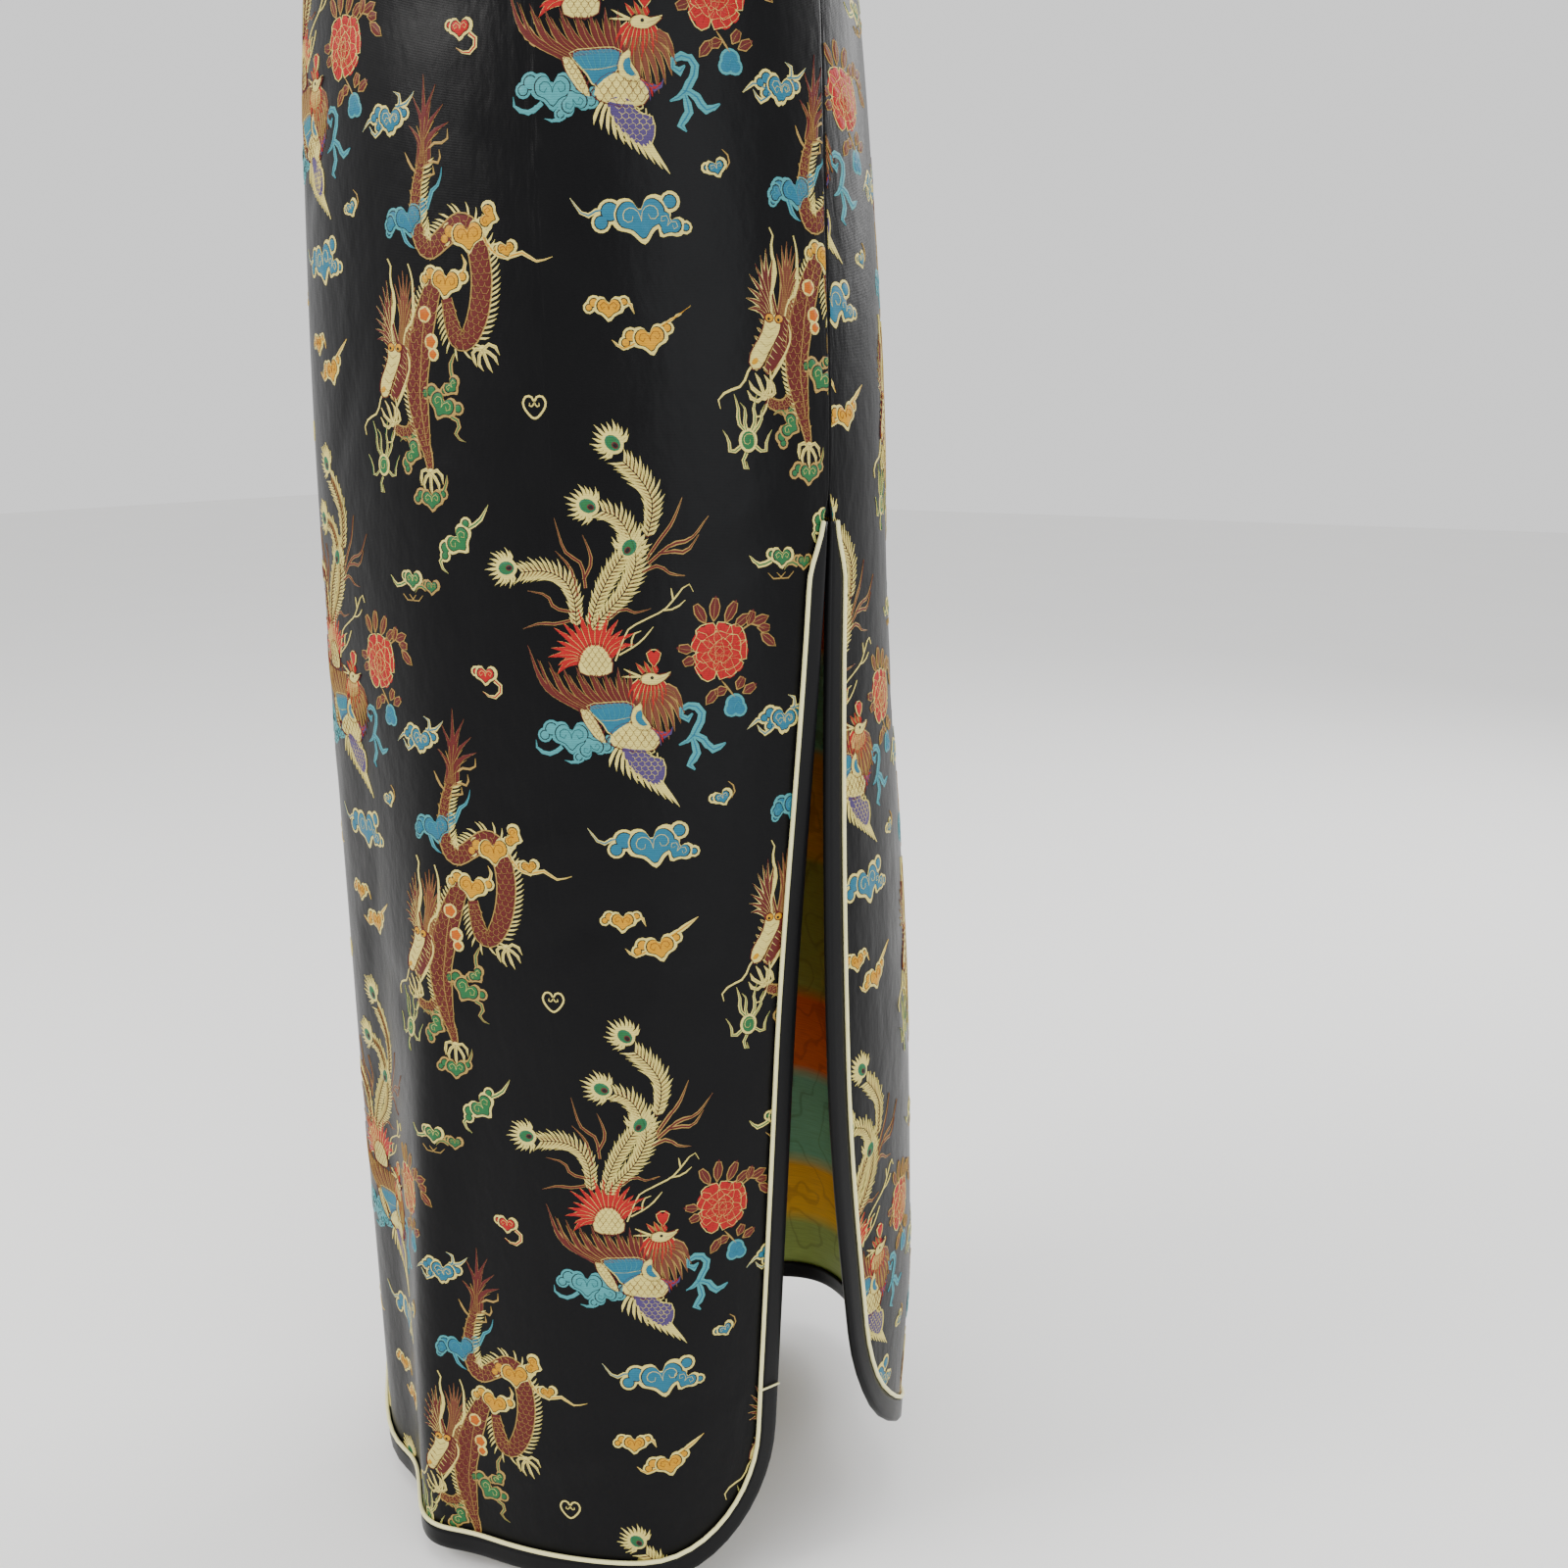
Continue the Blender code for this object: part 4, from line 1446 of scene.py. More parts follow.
@dataclass
class Loom:
    """Collects flat figure parts: across and up in mm, and lift off the cloth in mm, by thread."""

    sunk: float = -0.06
    small_cloud: float = 11.0
    parts: dict = field(default_factory=lambda: {thread: [] for thread in Thread})

    def ribbon(self, thread: Thread, path: Sequence, width: float, taper: tuple = (0.35, 0.35),
               rise: float = 0.36, step: float = 4.4, closed: bool = False, ease: float = 4.0) -> None:
        """A raised line of thread: three points across each step, the middle one high, the edges sunk.

        Args:
            thread: its colour.
            path: knots in mm.
            width: full width in mm.
            taper: share of the width left at the start and at the end.
            rise: height of the middle in mm.
            step: distance between points in mm.
            closed: whether the line is a loop.
            ease: how fast it widens from its ends.
        """
        line = curve(path, step, closed)
        _, left = heading(line)
        t = np.linspace(0, 1, len(line))
        swell = np.minimum(taper[0] + ease * t * (1 - taper[0]), taper[1] + ease * (1 - t) * (1 - taper[1]))
        swell = np.minimum(1.0, swell)
        half = 0.5 * width * (np.ones_like(t) if closed else swell)
        side = np.array([1.0, 0.0, -1.0])
        flat = line[:, None] + left[:, None] * (half[:, None] * side)[..., None]
        lift = np.broadcast_to(np.array([self.sunk, rise, self.sunk]), flat.shape[:2])
        points = np.concatenate([flat, lift[..., None]], axis=2).reshape(-1, 3)
        self.parts[thread].append((points, grid_quads(len(line), 3, flip=True)))

    def plume(self, thread: Thread, line: Thread, path: Sequence, width: float, taper: tuple = (0.8, 0.06),
              rise: float = 0.30, edge: float = 1.0) -> None:
        """A tapering feather or lock: a wide band in the line colour, with the thread's own band over it."""
        self.ribbon(line, path, width + edge, taper, rise * 0.62, ease=1.9)
        self.ribbon(thread, path, width, taper, rise + 0.10, ease=1.9)

    def fan(self, thread: Thread, line: Thread, roots: tuple, tips: Sequence, width: float,
            bend: tuple = (0.1, 0.1), rise: float = 0.26, between: float = 0.62) -> None:
        """Plumes from a root line out to their tips, with a thin line between each two of them.

        Args:
            thread: colour of the plumes.
            line: colour of their edges.
            roots: the two ends of the root line in mm.
            tips: the far ends in mm.
            width: width of a plume in mm.
            bend: how far the first and the last plume bow to their left, as a share of their length.
            rise: height in mm.
            between: share of the length that the lines between them run.
        """
        tips = np.asarray(tips, dtype=float)
        share = np.linspace(0.0, 1.0, len(tips))[:, None]
        base = np.asarray(roots[0], dtype=float) + (np.asarray(roots[1], dtype=float) - roots[0]) * share
        run = tips - base
        bow = np.column_stack([-run[:, 1], run[:, 0]]) * (bend[0] + (bend[1] - bend[0]) * share)
        lines = np.stack([base, base + run / 2 + bow, tips], axis=1)
        for path in lines:
            self.plume(thread, line, path, width, (1.0, 0.06), rise, 0.8)
        for path in (lines[1:] + lines[:-1]) / 2:
            self.ribbon(line, path[0] + (path - path[0]) * between, 0.42, (0.9, 0.3), rise + 0.22, step=4.0)

    def scales(self, line: Thread, box: tuple, size: float, inside: Callable, rise: float,
               turn: float = 0.0) -> None:
        """Rows of small arcs, each row half a step along from the last, where a test of the spot allows.

        Args:
            line: colour of the arcs.
            box: least and greatest across and up in mm.
            size: width of an arc in mm.
            inside: tells whether a spot gets an arc.
            rise: height in mm.
            turn: turn of each arc in degrees.
        """
        arc = np.array([(-0.5, 0.30), (-0.30, -0.22), (0.0, -0.42), (0.30, -0.22), (0.5, 0.30)]) * size
        for row, y in enumerate(np.arange(box[1], box[3], size * 0.72)):
            for x in np.arange(box[0] + (row % 2) * size / 2, box[2], size):
                if inside(x, y):
                    self.ribbon(line, turned(arc, turn, (x, y)), 0.85, (0.8, 0.8), rise, step=2.0)

    def fill(self, thread: Thread, outline: Sequence, rise: float = 0.20, step: float = 3.0,
             smooth_line: bool = True) -> None:
        """A filled patch: rings shrink from its outline to its middle, and the rim is sunk.

        Args:
            thread: its colour.
            outline: points in mm.
            rise: height off the cloth in mm.
            step: distance between rim points in mm.
            smooth_line: whether the outline is rounded first.
        """
        rim = curve(outline, step, closed=True)[:-1] if smooth_line else np.asarray(outline, dtype=float)
        x, y = rim[:, 0], rim[:, 1]
        if np.sum(x * np.roll(y, -1) - y * np.roll(x, -1)) < 0:
            rim = rim[::-1]
        middle = rim.mean(axis=0)
        share = np.array([0.0, 0.84, 1.0])
        flat = middle + (rim - middle)[None] * share[:, None, None]
        lift = np.broadcast_to(np.array([rise, rise, self.sunk])[:, None], flat.shape[:2])
        points = np.concatenate([flat, lift[..., None]], axis=2).reshape(-1, 3)
        self.parts[thread].append((points, grid_quads(3, len(rim), ring=True)))

    def blob(self, thread: Thread, x: float, y: float, wide: float, high: Optional[float] = None,
             turn: float = 0.0, scallops: int = 0, depth: float = 0.12, rise: float = 0.20) -> None:
        """An oval patch, with a scalloped rim where asked: radius is one plus a cosine of the angle.

        Args:
            thread: its colour.
            x: middle across in mm.
            y: middle up in mm.
            wide: half width in mm.
            high: half height in mm, or the same.
            turn: turn in degrees.
            scallops: how many round the rim.
            depth: their share of the radius.
            rise: height off the cloth in mm.
        """
        high = wide if high is None else high
        count = max(9, int(1.5 * (wide + high)))
        angle = np.linspace(0, 2 * math.pi, count, endpoint=False)
        radius = 1.0 + depth * np.cos(scallops * angle) * (scallops > 0)
        rim = np.column_stack([wide * radius * np.cos(angle), high * radius * np.sin(angle)])
        rim = turned(rim, turn, (x, y))
        self.fill(thread, rim, rise, smooth_line=False)

    def edged(self, thread: Thread, line: Thread, outline: Sequence, rise: float = 0.22,
              edge: float = 0.8) -> None:
        """A patch with a thin line round it."""
        self.fill(thread, outline, rise)
        self.ribbon(line, outline, edge, rise=rise + 0.14, closed=True)

    def cloud(self, row: Cloud, at: Origin) -> None:
        """A curled cloud: a wide lobed head with a pointed foot and a coil in each half, bumps, and wisps.

        Args:
            row: the cloud.
            at: what the row counts from.
        """
        thread, line, size, turn = row.thread, row.line, row.size, row.turn
        x, y = at.x + row.x, at.y + row.y
        for knots in row.wisps:
            path = at(*knots)
            self.ribbon(line, path, 2.9, (1.0, 0.12), 0.20, ease=2.2)
            self.ribbon(thread, path, 1.5, (1.0, 0.12), 0.34, ease=2.2)
        half = np.array([(0.03, 0.13), (0.15, 0.32), (0.37, 0.33), (0.54, 0.12), (0.48, -0.16),
                         (0.22, -0.28)])
        head = np.vstack([half, [(0.0, -0.50)], half[::-1] * (-1.0, 1.0)])
        bumps = ((-0.58, 0.16, 0.20), (-0.78, -0.02, 0.15), (0.60, 0.20, 0.15))
        if size <= self.small_cloud:
            bumps = ((-0.55, 0.12, 0.16),)
        for colour, grow, rise in ((line, 1.3, 0.14), (BLACK, 0.4, 0.19), (thread, -0.2, 0.25)):
            for bx, by, radius in bumps:
                spot = turned([(bx * size, by * size)], turn, (x, y))[0]
                self.blob(colour, *spot, radius * size + grow, rise=rise)
        for colour, grow, rise in ((line, 1.2, 0.28), (BLACK, 0.35, 0.33), (thread, -0.3, 0.39)):
            self.fill(colour, turned(head * (size + 2 * grow), turn, (x, y)), rise, step=2.2)
        coil = np.array([(0.0, -0.10), (0.04, 0.08), (0.17, 0.18), (0.32, 0.12), (0.33, -0.04), (0.20, -0.09),
                         (0.15, 0.02)])
        for hand in (1.0, -1.0):
            knots = turned(coil * (hand * size, size), turn, (x, y))
            self.ribbon(row.curl or line, knots, 0.9, (0.8, 0.5), 0.56, step=2.5)

    def leaf(self, thread: Thread, line: Thread, start: Sequence[float], turn: float, length: float,
             width: float) -> None:
        """A pointed leaf with an edge line and a rib.

        Args:
            thread: its colour.
            line: colour of its edge line.
            start: its root in mm.
            turn: turn in degrees.
            length: in mm.
            width: in mm.
        """
        rim = [(0, 0), (0.3, 0.42), (0.62, 0.46), (1.0, 0.0), (0.62, -0.46), (0.3, -0.42)]
        rim = [(px * length, py * width) for px, py in rim]
        self.edged(thread, line, turned(rim, turn, start), 0.22, 0.7)
        self.ribbon(line, turned([(0, 0), (0.5 * length, 0.3), (0.9 * length, 0)], turn, start), 0.5,
                    (0.6, 0.2), 0.40)

    def scaled(self, path: Sequence, width: Sequence[float], skin: Thread, scale: Thread,
               spines: float = 0.0) -> None:
        """A scaled body: a wide band of skin, a line down each side, arcs of scales, and spines on one side.

        Args:
            path: knots along the middle in mm.
            width: full widths at even shares along it.
            skin: colour of the band.
            scale: colour of the arcs, side lines and spines.
            spines: length of the spines, on the left of the path where positive.
        """
        line = curve(path, 3.0)
        run, left = heading(line)
        half = 0.5 * np.interp(np.linspace(0, 1, len(line)), np.linspace(0, 1, len(width)), width)
        side = np.array([1.0, 0.5, -0.5, -1.0])
        flat = line[:, None] + left[:, None] * (half[:, None] * side)[..., None]
        lift = np.broadcast_to(np.array([self.sunk, 0.24, 0.24, self.sunk]), flat.shape[:2])
        points = np.concatenate([flat, lift[..., None]], axis=2).reshape(-1, 3)
        self.parts[skin].append((points, grid_quads(len(line), 4, flip=True)))
        for hand in (1.0, -1.0):
            self.ribbon(scale, line + left * half[:, None] * hand, 0.9, (0.6, 0.4), 0.40)
        arc = np.array([(-0.5, -0.45), (0.32, -0.3), (0.6, 0.0), (0.32, 0.3), (-0.5, 0.45)])
        for k in range(1, len(line) - 1):
            rows = (0.0,) if half[k] < 2.2 else ((0.5, -0.5) if k % 2 else (0.9, 0.0, -0.9))
            for row in rows:
                spot = line[k] + left[k] * half[k] * row * 0.72
                reach = min(2.3, half[k] * 0.8)
                knots = spot + (arc[:, :1] * run[k] + arc[:, 1:] * left[k] * 2.0) * reach
                self.ribbon(scale, knots, 0.46, (0.8, 0.8), 0.44, step=3.3)
        if spines:
            for at in np.arange(1.0, len(line) - 1.5, 0.8):
                k = int(round(at))
                root = line[k] + (at - k) * 3.0 * run[k] + left[k] * half[k] * math.copysign(1.0, spines)
                tip = root + left[k] * spines - run[k] * abs(spines) * 0.8
                self.ribbon(CREAM, [root, (root + tip) / 2 + run[k] * 0.4, tip], 1.2, (1.0, 0.1), 0.34,
                            step=6.0)

    def feather(self, quill: Sequence, barb: float, eye: tuple) -> None:
        """A long tail feather: dense pointed barbs swept to its tip, a dark quill, and a ringed eye.

        Args:
            quill: knots from the tip to the root in mm.
            barb: length of the barbs in mm.
            eye: middle of the eye in mm.
        """
        line = curve(quill, 2.3)
        run, left = heading(line)
        for k in range(1, len(line)):
            reach = barb * (0.62 + 0.40 * math.sin(math.pi * min(1.0, 0.12 + k / len(line))))
            for hand in (1.0, -1.0):
                long = reach * (1 + 0.13 * math.sin(2.6 * k + hand))
                tip = line[k] + (left[k] * hand * 0.78 - run[k] * 0.82) * long
                mid = (line[k] + tip) / 2 + left[k] * hand * 0.7
                self.ribbon(CREAM, [line[k], mid, tip], 2.2, (0.8, 0.06), 0.30, step=5.0, ease=1.5)
                fork = line[k] + (left[k] * hand * 0.50 - run[k] * 0.55) * long
                self.ribbon(BROWN, [line[k] + run[k] * 1.1, fork + run[k] * 1.0], 0.45, (0.9, 0.3), 0.42,
                            step=9.0)
        self.ribbon(BLACK, quill, 0.8, (0.9, 0.9), 0.50)
        x, y = eye
        turn = math.degrees(math.atan2(*(-run[0])[::-1]))
        for k, angle in enumerate(np.linspace(turn - 132, turn + 132, 15)):
            reach = 11.5 + 0.9 * math.sin(2.0 * k) - 2.5 * abs(angle - turn) / 132
            bend = 24.0 * (turn - angle) / 132
            knots = np.vstack([turned([(3.5, 0), (reach * 0.62, 0.0)], angle, (x, y)),
                               turned([(reach, 0)], angle + bend, (x, y))])
            self.ribbon(CREAM, knots, 2.3, (0.9, 0.06), 0.30, step=5.0, ease=1.5)
        self.blob(CREAM, x, y, 6.0, 5.0, turn, rise=0.34)
        self.blob(GREEN, x, y, 5.0, 3.9, turn, rise=0.42)
        self.ribbon(TEAL, turned([(4.4, 0), (0, 3.2), (-4.4, 0), (0, -3.2)], turn, (x, y)), 0.6, rise=0.52,
                    closed=True)
        dark = turned([(-1.6, 0)], turn, (x, y))[0]
        self.blob(MAROON, *dark, 2.2, 1.7, turn, rise=0.50)
        self.blob(BLACK, *dark, 1.5, 1.1, turn, rise=0.58)

    def peony(self, x: float, y: float, size: float) -> None:
        """A full flower of uneven scalloped petals, each thinly edged, with leaves, a sprig and a bud.

        Args:
            x: middle across in mm.
            y: middle up in mm.
            size: half width of the flower in mm.
        """
        leaves = ((-7, 14, 118, 12), (-3, 15, 84, 13), (3, 14, 62, 13), (8, 12, 38, 10), (-13, 1, 172, 9),
                  (-12, -3, 204, 8), (-1, -19, 232, 10), (4, -19, 200, 8), (12, -22, 30, 9), (9, -20, 62, 8),
                  (15, 12, 70, 9), (17, 13, 20, 10), (22, 8, -40, 11), (20, 11, -5, 8))
        for dx, dy, turn, length in leaves:
            self.leaf(MAROON, GOLD, (x + dx, y + dy), turn, length, 5.2)
        self.ribbon(GOLD, [(x + 1, y - 15), (x + 5, y - 20), (x + 8, y - 24)], 1.0)
        self.ribbon(GOLD, [(x + 10, y + 8), (x + 16, y + 13), (x + 24, y + 10)], 0.9)
        for dx, dy, r in ((8, -27, 4.6), (6, -30, 3.4), (10.5, -30, 3.4)):
            self.blob(TEAL, x + dx, y + dy, r + 0.6, rise=0.16)
        for dx, dy, r in ((8, -27, 4.6), (6, -30, 3.4), (10.5, -30, 3.4)):
            self.blob(BLUE, x + dx, y + dy, r - 0.2, rise=0.26)
        self.ribbon(TEAL, [(x + 4, y - 28), (x + 8, y - 30), (x + 8.5, y - 25), (x + 12, y - 29)], 0.6,
                    rise=0.4)
        petal = np.array([(0, -0.30), (0.42, -0.62), (0.85, -0.60), (1.02, -0.34), (0.90, -0.10),
                          (1.10, 0.06), (0.94, 0.26), (1.04, 0.50), (0.76, 0.66), (0.40, 0.60), (0, 0.30)])
        for ring, (count, reach, long) in enumerate(((9, 0.46, 0.56), (7, 0.16, 0.56), (4, -0.10, 0.46))):
            for k in range(count):
                turn = 360.0 * k / count + 21.0 * ring + 9.0 * math.sin(3.0 * k)
                spot = turned([(reach * size, 0.0)], turn, (x, y))[0]
                lift = 0.14 + 0.13 * ring + 0.013 * k
                long_now = long * size * (1 + 0.10 * math.sin(2.3 * k + ring))
                self.edged(RED, CREAM, turned(petal * long_now, turn, spot), lift, 0.55)
                for spread in (-22, 0, 22):
                    vein = turned([(0.25 * long_now, 0), (0.85 * long_now, 0)], turn + spread, spot)
                    self.ribbon(MAROON, vein, 0.5, (0.5, 0.3), lift + 0.10, step=5.0)

    def gathered(self, thread: Thread) -> Optional[tuple]:
        """All of one thread's parts as one set of points and triangles.

        Args:
            thread: its colour.

        Returns:
            Points and triangles, or none.
        """
        if not self.parts[thread]:
            return None
        points, quads = join(self.parts[thread])
        return points, np.vstack([quads[:, [0, 1, 2]], quads[:, [0, 2, 3]]])


@dataclass
class Dragon:
    """A horned dragon with a looping scaled body, claws and a pearl; its knots count from its forehead."""

    loom: Loom
    at: Origin
    upper: tuple = (
        Cloud(BLUE, TEAL, 14, 64, 17, 10,
              (((18, 66), (26, 68), (29, 75), (34, 79), (36, 86)), ((9, 60), (12, 53), (17, 50)))),
        Cloud(BLUE, TEAL, 2, 62, 8, 80),
        Cloud(YELLOW, CREAM, 49, 55, 17, 5,
              (((57, 54), (62, 47), (69, 44), (77, 46), (84, 42), (92, 44)),), MAROON),
        Cloud(YELLOW, CREAM, 60, 63, 11, 70, (), MAROON),
        Cloud(YELLOW, CREAM, 69, 48, 9, 10, (), MAROON),
        Cloud(YELLOW, CREAM, 35, 34, 16, -8, (((42, 36), (47, 40), (45, 46)),), MAROON),
    )
    lower: tuple = (
        Cloud(GREEN, GOLD, 29, -24, 15, -30, (((34, -30), (39, -33), (36, -39), (42, -42)),),
              CREAM),
        Cloud(GREEN, GOLD, 35, -15, 9, 40, (((36, -12), (35, -5), (39, 2)),), CREAM),
        Cloud(GREEN, GOLD, 8, -47, 12, 65, (((6, -42), (3, -39), (-1, -42)),), CREAM),
        Cloud(GREEN, GOLD, 20, -70, 12, 0, (((25, -68), (29, -64), (30, -58)),), CREAM),
    )
    flames: tuple = (
        ((-2, 5), (-5, 9), (-5, 15), (-7, 22)), ((-1, 5), (-2, 10), (-1, 14), (-4, 18)),
        ((2, 5), (4, 10), (3, 15), (5, 22)), ((3, 4), (7, 9), (7, 13), (9, 17)),
        ((-4, -3), (-9, -6), (-10, 0), (-13, 5)), ((4, -3), (9, -6), (10, 0), (13, 5)),
        ((-1, -6), (-3, -11), (0, -15), (-1, -10)),
    )

    def draw(self) -> None:
        """Draw the body first, and over it the legs, mane, head and pearl."""
        self.body()
        self.legs()
        self.mane()
        self.head()
        self.pearl()

    def body(self) -> None:
        """Draw the scaled body, its bosses, its tail and its fins."""
        loom, at = self.loom, self.at
        loom.scaled(at((25, 92), (20, 76), (19, 60), (25, 49), (35, 54), (45, 60), (52, 54), (55, 42),
                       (55, 30), (52, 17), (46, 7), (40, 7), (37, 15), (35, 26)),
                    (4, 6, 8, 10, 11, 11, 11, 9, 6), MAROON, GOLD, 4.6)
        loom.scaled(at((30, 38), (22, 20), (16, 2), (13, -18), (17, -46)), (8, 13, 15, 13, 6), MAROON, GOLD,
                    -3.0)
        loom.ribbon(GOLD, at((26, 30), (20, 14), (17, -4), (15, -22), (18, -44)), 0.9, (0.5, 0.5), 0.52)
        for x, y, r in ((21, 19, 3.6), (24, 6, 3.4), (25, 0, 2.6)):
            loom.blob(CREAM, at.x + x, at.y + y, r + 0.9, rise=0.40)
            loom.blob(ORANGE, at.x + x, at.y + y, r, rise=0.48, scallops=5)
            loom.ribbon(YELLOW, turned([(-r * 0.6, 0), (0, r * 0.6), (r * 0.6, 0), (0, -r * 0.3)], 20,
                                       (at.x + x, at.y + y)), 0.8, rise=0.58)
        loom.fan(MAROON, GOLD, at((22, 88), (28, 88)), at((17, 106), (20, 119), (23, 113), (27, 128),
                                                          (31, 116), (34, 123), (38, 114), (41, 106)), 3.6,
                 (-0.22, 0.26))
        for hook in (((25, 92), (32, 97), (39, 97), (40, 103)), ((24, 86), (31, 89), (35, 88), (35, 94)),
                     ((22, 80), (27, 83), (31, 82), (31, 87)), ((21, 84), (17, 88), (14, 94))):
            loom.ribbon(GOLD, at(*hook), 1.5, (0.8, 0.1))

    def legs(self) -> None:
        """Draw the clouds that it treads and its clawed legs."""
        loom, at = self.loom, self.at
        for row in self.upper:
            loom.cloud(row, at)
        self.claw(54, 2, -60)
        for row in self.lower:
            loom.cloud(row, at)
        loom.scaled(at((12, -32), (4, -38), (-5, -35)), (6, 6, 4), MAROON, GOLD)
        self.claw(-6, -33, 120)
        loom.scaled(at((17, -44), (19, -51), (20, -57)), (6, 5, 3), MAROON, GOLD)
        self.claw(20, -57, -80)

    def mane(self) -> None:
        """Draw the mane, the horns and the neck's frill."""
        loom, at = self.loom, self.at
        loom.fan(MAROON, CREAM, at((-4, 4), (1, 6)), at((-14, 8), (-15, 13), (-14, 18), (-13, 24), (-10, 29),
                                                        (-7, 33), (-4, 36), (0, 33)), 2.9, (-0.2, 0.1))
        loom.fan(BROWN, GOLD, at((3, 6), (9, 3)), at((2, 34), (5, 38), (8, 40), (11, 38), (13, 35), (16, 32),
                                                     (17, 27), (19, 21), (19, 15)), 2.6, (-0.1, 0.2))
        loom.ribbon(CREAM, at((-1, 4), (-2, 14), (1, 26), (-1, 36), (0, 43), (-2, 46)), 2.6, (1.0, 0.2), 0.56,
                    ease=1.8)
        loom.ribbon(CREAM, at((6, 5), (8, 12), (13, 16), (14, 26), (14, 36), (12, 43)), 2.6, (1.0, 0.2), 0.56,
                    ease=1.8)
        loom.edged(MAROON, GOLD, at((2, 4), (8, 5), (10, -4), (7, -12), (1, -19), (-4, -23), (-6, -19),
                                    (-1, -10)), 0.30, 0.6)
        for k in range(9):
            root = (10.2 - 0.055 * k * k, 1 - 2.6 * k)
            loom.plume(MAROON, CREAM,
                       at(root, (root[0] + 2.5, root[1] - 0.8), (root[0] + 4.5, root[1] - 3.2)), 1.3,
                       rise=0.3, edge=0.7)
        loom.ribbon(CREAM, at((8, 1), (9, -6), (5, -14), (0, -22), (-2, -25)), 2.4, (0.6, 0.4), 0.50)

    def head(self) -> None:
        """Draw the snout, teeth, brows, eyes and whiskers."""
        loom, at = self.loom, self.at
        snout = at((-5, 6), (3, 6), (4, 0), (1, -6), (-3, -12), (-7, -19), (-11, -21), (-14, -18), (-13, -12),
                   (-9, -6), (-6, 0))
        loom.edged(CREAM, MAROON, snout, 0.46, 0.55)
        for k in range(6):
            root = (2.2 - 1.75 * k, -4.5 - 2.9 * k)
            loom.ribbon(CREAM, at(root, (root[0] + 2.6, root[1] - 2.4)), 1.1, (1.0, 0.1), 0.52, ease=1.5)
        for k in range(5):
            root = (-5.5 - 1.3 * k, 1.0 - 4.0 * k)
            loom.ribbon(MAROON, at(root, (root[0] + 3.6, root[1] - 2.8), (root[0] + 6.4, root[1] - 1.0)), 0.7,
                        rise=0.62)
            loom.plume(MAROON, CREAM, at(root, (root[0] - 3.0, root[1] + 2.6)), 1.0, rise=0.3, edge=0.6)
        loom.blob(YELLOW, at.x - 11, at.y - 16.5, 2.2, 1.5, 40, rise=0.62)
        for x, y in ((-3.0, 4.0), (2.4, 3.6)):
            loom.blob(MAROON, at.x + x, at.y + y, 3.1, 2.8, rise=0.54)
            loom.blob(YELLOW, at.x + x, at.y + y, 2.5, 2.2, rise=0.62)
            loom.blob(BLACK, at.x + x - 0.4, at.y + y - 0.5, 0.9, rise=0.70)
        for start, far in (((-12, -18), ((-15, -22), (-18, -28), (-26, -31), (-30, -35), (-29, -39))),
                           ((-3, -20), ((-2, -27), (-4, -35), (-7, -42), (-11, -43), (-12, -39)))):
            loom.ribbon(CREAM, at(start, *far), 1.2, (0.9, 0.3))

    def pearl(self) -> None:
        """Draw the flaming pearl that it chases."""
        loom, at = self.loom, self.at
        px, py = at.x - 15, at.y - 54
        loom.blob(CREAM, px, py, 4.9, 5.9, rise=0.20)
        loom.blob(GREEN, px, py, 4.0, 5.0, rise=0.30)
        coil = [(3.0, -2), (2.6, 2.6), (-1.6, 2.6), (-2.2, -1.0), (0.6, -1.8), (0.9, 0.6)]
        loom.ribbon(CREAM, turned(coil, 0, (px, py)), 0.9, rise=0.46, step=1.8)
        for flame in self.flames:
            loom.plume(GREEN, CREAM, np.array(flame) + (px, py), 0.9, (1.0, 0.12), 0.26, 1.1)

    def claw(self, x: float, y: float, turn: float) -> None:
        """Five bent toes with pale nails, round a small palm.

        Args:
            x: middle across from the origin in mm.
            y: middle up from the origin in mm.
            turn: turn in degrees.
        """
        loom, spot = self.loom, (self.at.x + x, self.at.y + y)
        loom.blob(CREAM, *spot, 2.2, rise=0.40)
        for spread, length in ((-80, 8), (-42, 10), (-8, 12), (24, 11), (62, 9)):
            toe = turned([(0, 0), (length * 0.5, spread * 0.04), (length * 0.8, spread * 0.01),
                          (length, -spread * 0.05)], turn + spread, spot)
            loom.ribbon(CREAM, toe, 2.0, (1.0, 0.2), 0.40)
            loom.ribbon(MAROON, toe, 0.5, (0.8, 0.2), 0.52)


